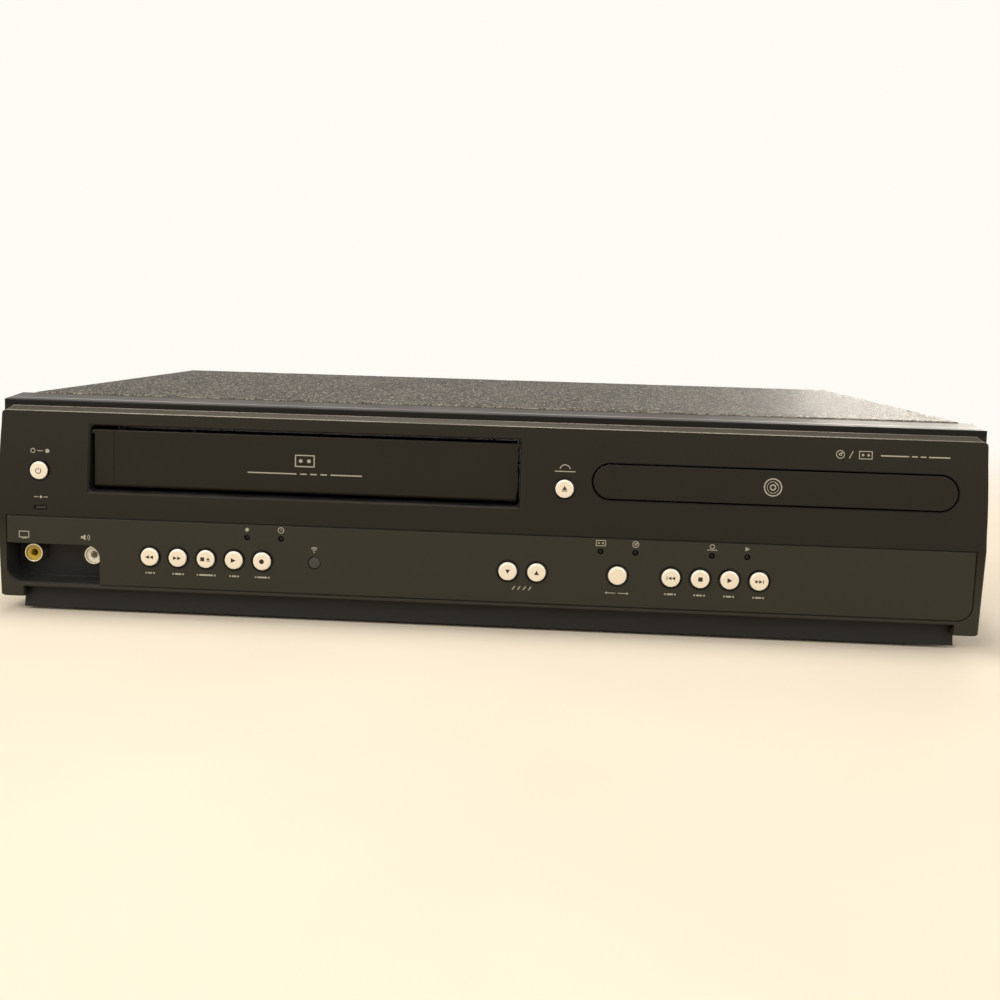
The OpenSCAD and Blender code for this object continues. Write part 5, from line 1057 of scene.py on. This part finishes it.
key_x = {name: middle_of(name + "_button")[0] for name in KEYS}
key_z = middle_of("rewind_button")[1]
x, z = key_x["standby"], STANDBY_SIGN_Z
face_prints = [ring(x - 3.3, z, 1.9), bar(x, z, 2.6, LINE_MM), disc(x + 3.3, z, 1.9)]
x, z = POWER_LAMP_X, POWER_SIGN_Z
face_prints += [bar(x - 2.2, z, 1.9, LINE_MM), disc(x, z, 1.2), bar(x + 2.2, z, 1.9, LINE_MM)]
face_prints += screen_picture(VIDEO_X, JACK_SIGN_Z + 0.1) + speaker_picture(AUDIO_X, JACK_SIGN_Z)
z = LAMP_SIGN_Z
face_prints += [disc(RECORD_LAMP_X, z, 1.7), *clock_picture(TIMER_LAMP_X, z + 0.3),
                *waves_picture(REMOTE_X, REMOTE_SIGN_Z)]
for name, length in KEY_BARS.items():
    face_prints += dash_row(key_x[name], key_z - UNDER_KEY_MM, (0.7, length - 2.4, 0.7), 0.5, 0.75)
x, z = (key_x["tracking_down"] + key_x["tracking_up"]) / 2, key_z - UNDER_KEY_MM
face_prints += [line([(x + off - 0.6, z - 0.8), (x + off + 0.6, z + 0.8)], 0.45)
                for off in (-3.6, -1.2, 1.2, 3.6)]
x, z = key_x["open_close"], EJECT_SIGN_Z
face_prints += [line(arc(x, z + 0.6, 4.6, 12, 168, 16), 0.4), bar(x, z, 9.0, 0.4)]
z = LAMP_SIGN_Z
face_prints += tape(TAPE_LAMP_X, z + 0.2, 4.0, 2.4, 0.3)
face_prints += disc_picture(DISC_LAMP_X, z + 0.2, 2.7, 0.3)
face_prints += [ring(DISC_IN_LAMP_X, z + 0.5, 1.9, 0.3), bar(DISC_IN_LAMP_X, z - 1.0, 4.4, 0.3),
                pointer(PLAY_LAMP_X, z, 1.9, 2.0)]
x, z = key_x["source"], key_z - UNDER_KEY_MM - 0.5
face_prints += arrow(x - 2.9, z, 4.8, 180) + arrow(x + 2.9, z, 4.8, 0)
z = CORNER_SIGN_Z
face_prints += disc_picture(CORNER_DISC_X, z, 3.4)
face_prints += [line(list(zip(CORNER_STROKE_X, (z - 1.6, z + 1.6))), LINE_MM)]
face_prints += tape(CORNER_TAPE_X, z, 5.4, 3.2)
face_prints += dash_row(CORNER_ROW_X, z, (12.0, 2.4, 2.4, 9.0), 1.2, 0.55)
print_sign("face_prints", face_prints, face_y, "player", PALE_INK)
print("prints on the face:", len(face_prints), "shapes")

# %% [markdown]
# The tray and the door are bodies of their own, so their prints ride on them and move with
# them. The front of the tray follows the curve of the face, while the door is flat. The lamp
# of the standby key has a dim bar inside it, which takes the place of its light.

# %% Prints on the tray, the door and the power lamp
DOOR_SIGN_X, DOOR_SIGN_Z, DOOR_ROW_Z = -79.5, 73.1, 67.2
LAMP_BAR_Z = 48.4

x, z = TRAY_X - 0.5, TRAY_Z + 0.1
print_sign("tray_print", disc_picture(x, z, 7.4, 0.55) + [ring(x, z, 5.0, 0.25)],
           face_y, "tray", PALE_INK)
door_shapes = tape(DOOR_SIGN_X, DOOR_SIGN_Z, 8.4, 5.0, 0.5)
door_shapes += dash_row(DOOR_SIGN_X, DOOR_ROW_Z, (22.0, 3.0, 3.0, 3.0, 14.0), 1.6, 0.55)
print_sign("door_prints", door_shapes, level_y(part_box("vcr_door")[0].y / MM), "door",
           PALE_INK)
# a dim bar inside the power lamp: painted light
lamp_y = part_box("indicator_lenses")[0].y / MM
print_sign("painted_lamp_light", [bar(POWER_LAMP_X, LAMP_BAR_Z, 4.4, 0.4)], level_y(lamp_y), "player",
           LAMP_LIGHT_INK)
print("door print:", len(door_shapes), "shapes")

# %% [markdown]
# Behind, thin frames hold together the jacks that belong to one cable, and small arrows say
# which way the signal goes: up is out, down is in. The rear panel faces backwards, so the ink
# has to reach out to the other side.

# %% Prints on the rear panel
def rear_group(x, z, wide, high, arrows):
    """Frame round a group of jacks, with one arrow head above it for each (x, direction)."""
    return [line(frame_path(x, z, wide, high), 0.4, closed=True)] + [
        pointer(ax, z + high / 2 + 2.0, 1.8, 2.0, towards) for ax, towards in arrows]


UP, DOWN = 90, 270
REAR_GROUPS = [  # middle X and Z, width, height, and the X and direction of each arrow head
    (-146.0, 49.0, 43.0, 37.0, [(-160.0, DOWN), (-132.0, UP)]),
    (-92.0, 38.0, 43.0, 14.0, [(-92.0, UP)]),
    (-38.0, 38.0, 43.0, 14.0, [(-38.0, UP)]),
    (2.0, 49.0, 14.0, 37.0, [(2.0, UP)]),
    (-196.0, 48.0, 15.0, 43.0, [(-196.0, DOWN)])]
REAR_PICTURES = [(screen_picture, -160.0, 28.0), (speaker_picture, -139.0, 28.0),
                 (screen_picture, -92.0, 27.8), (speaker_picture, -31.0, 27.8)]
rear_prints = [shape for group in REAR_GROUPS for shape in rear_group(*group)]
rear_prints += [shape for picture, x, z in REAR_PICTURES for shape in picture(x, z)]
rear_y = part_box("rear_panel")[1].y / MM + INK_OUT_MM - INK_IN_MM
print_sign("rear_prints", rear_prints, level_y(rear_y), "player", PALE_INK)
print("prints on the rear panel:", len(rear_prints), "shapes")

# %% [markdown]
# The floor gets a plain pale stone: almost flat in colour, with faint clouds, and dull, so
# that no lamp shows in it and the case keeps a soft shadow at its foot.

# %% Floor finish
PALE_STONE = (0.76, 0.685, 0.565)
NEAR_M, FAR_M = 0.42, 0.95


def pale_stone(name, colour):
    """Pale stone: faint clouds in colour. From NEAR_M to FAR_M away from the case it passes into
    a plain pale backdrop, which is seen by the camera and in reflections but lights nothing."""
    mat, tree, shader = finish(name, colour, 0.9, Specular_IOR_Level=0.05)
    clouds = pattern(tree, "Noise", 140, Detail=5.0)
    tree.links.new(blend_colour(tree, spread(tree, clouds.outputs["Fac"], None, 0, 1), colour,
                                tuple(0.94 * c for c in colour)), shader.inputs["Base Color"])
    place = tree.nodes.new("ShaderNodeTexCoord")
    away = tree.nodes.new("ShaderNodeVectorMath")
    away.operation = "LENGTH"
    tree.links.new(place.outputs["Object"], away.inputs[0])
    path = tree.nodes.new("ShaderNodeLightPath")
    seen = combine(tree, "MAXIMUM", path.outputs["Is Camera Ray"], path.outputs["Is Glossy Ray"])
    backdrop = tree.nodes.new("ShaderNodeEmission")
    backdrop.inputs["Color"].default_value = (*BACKDROP, 1)
    mix = tree.nodes.new("ShaderNodeMixShader")
    far = spread(tree, away.outputs["Value"], None, 0.0, 1.0, NEAR_M, FAR_M)
    tree.links.new(product(tree, far, seen), mix.inputs[0])
    tree.links.new(shader.outputs[0], mix.inputs[1])
    tree.links.new(backdrop.outputs[0], mix.inputs[2])
    output = tree.nodes["Material Output"]
    tree.links.new(mix.outputs[0], output.inputs["Surface"])
    return mat


floor.data.materials.append(pale_stone("pale_stone", PALE_STONE))
print("floor finished:", floor.data.materials[0].name)

# %% [markdown]
# The view transform is the plain one, so that colours come out as they are written.

# %% View transform
bpy.context.scene.view_settings.view_transform = "Standard"
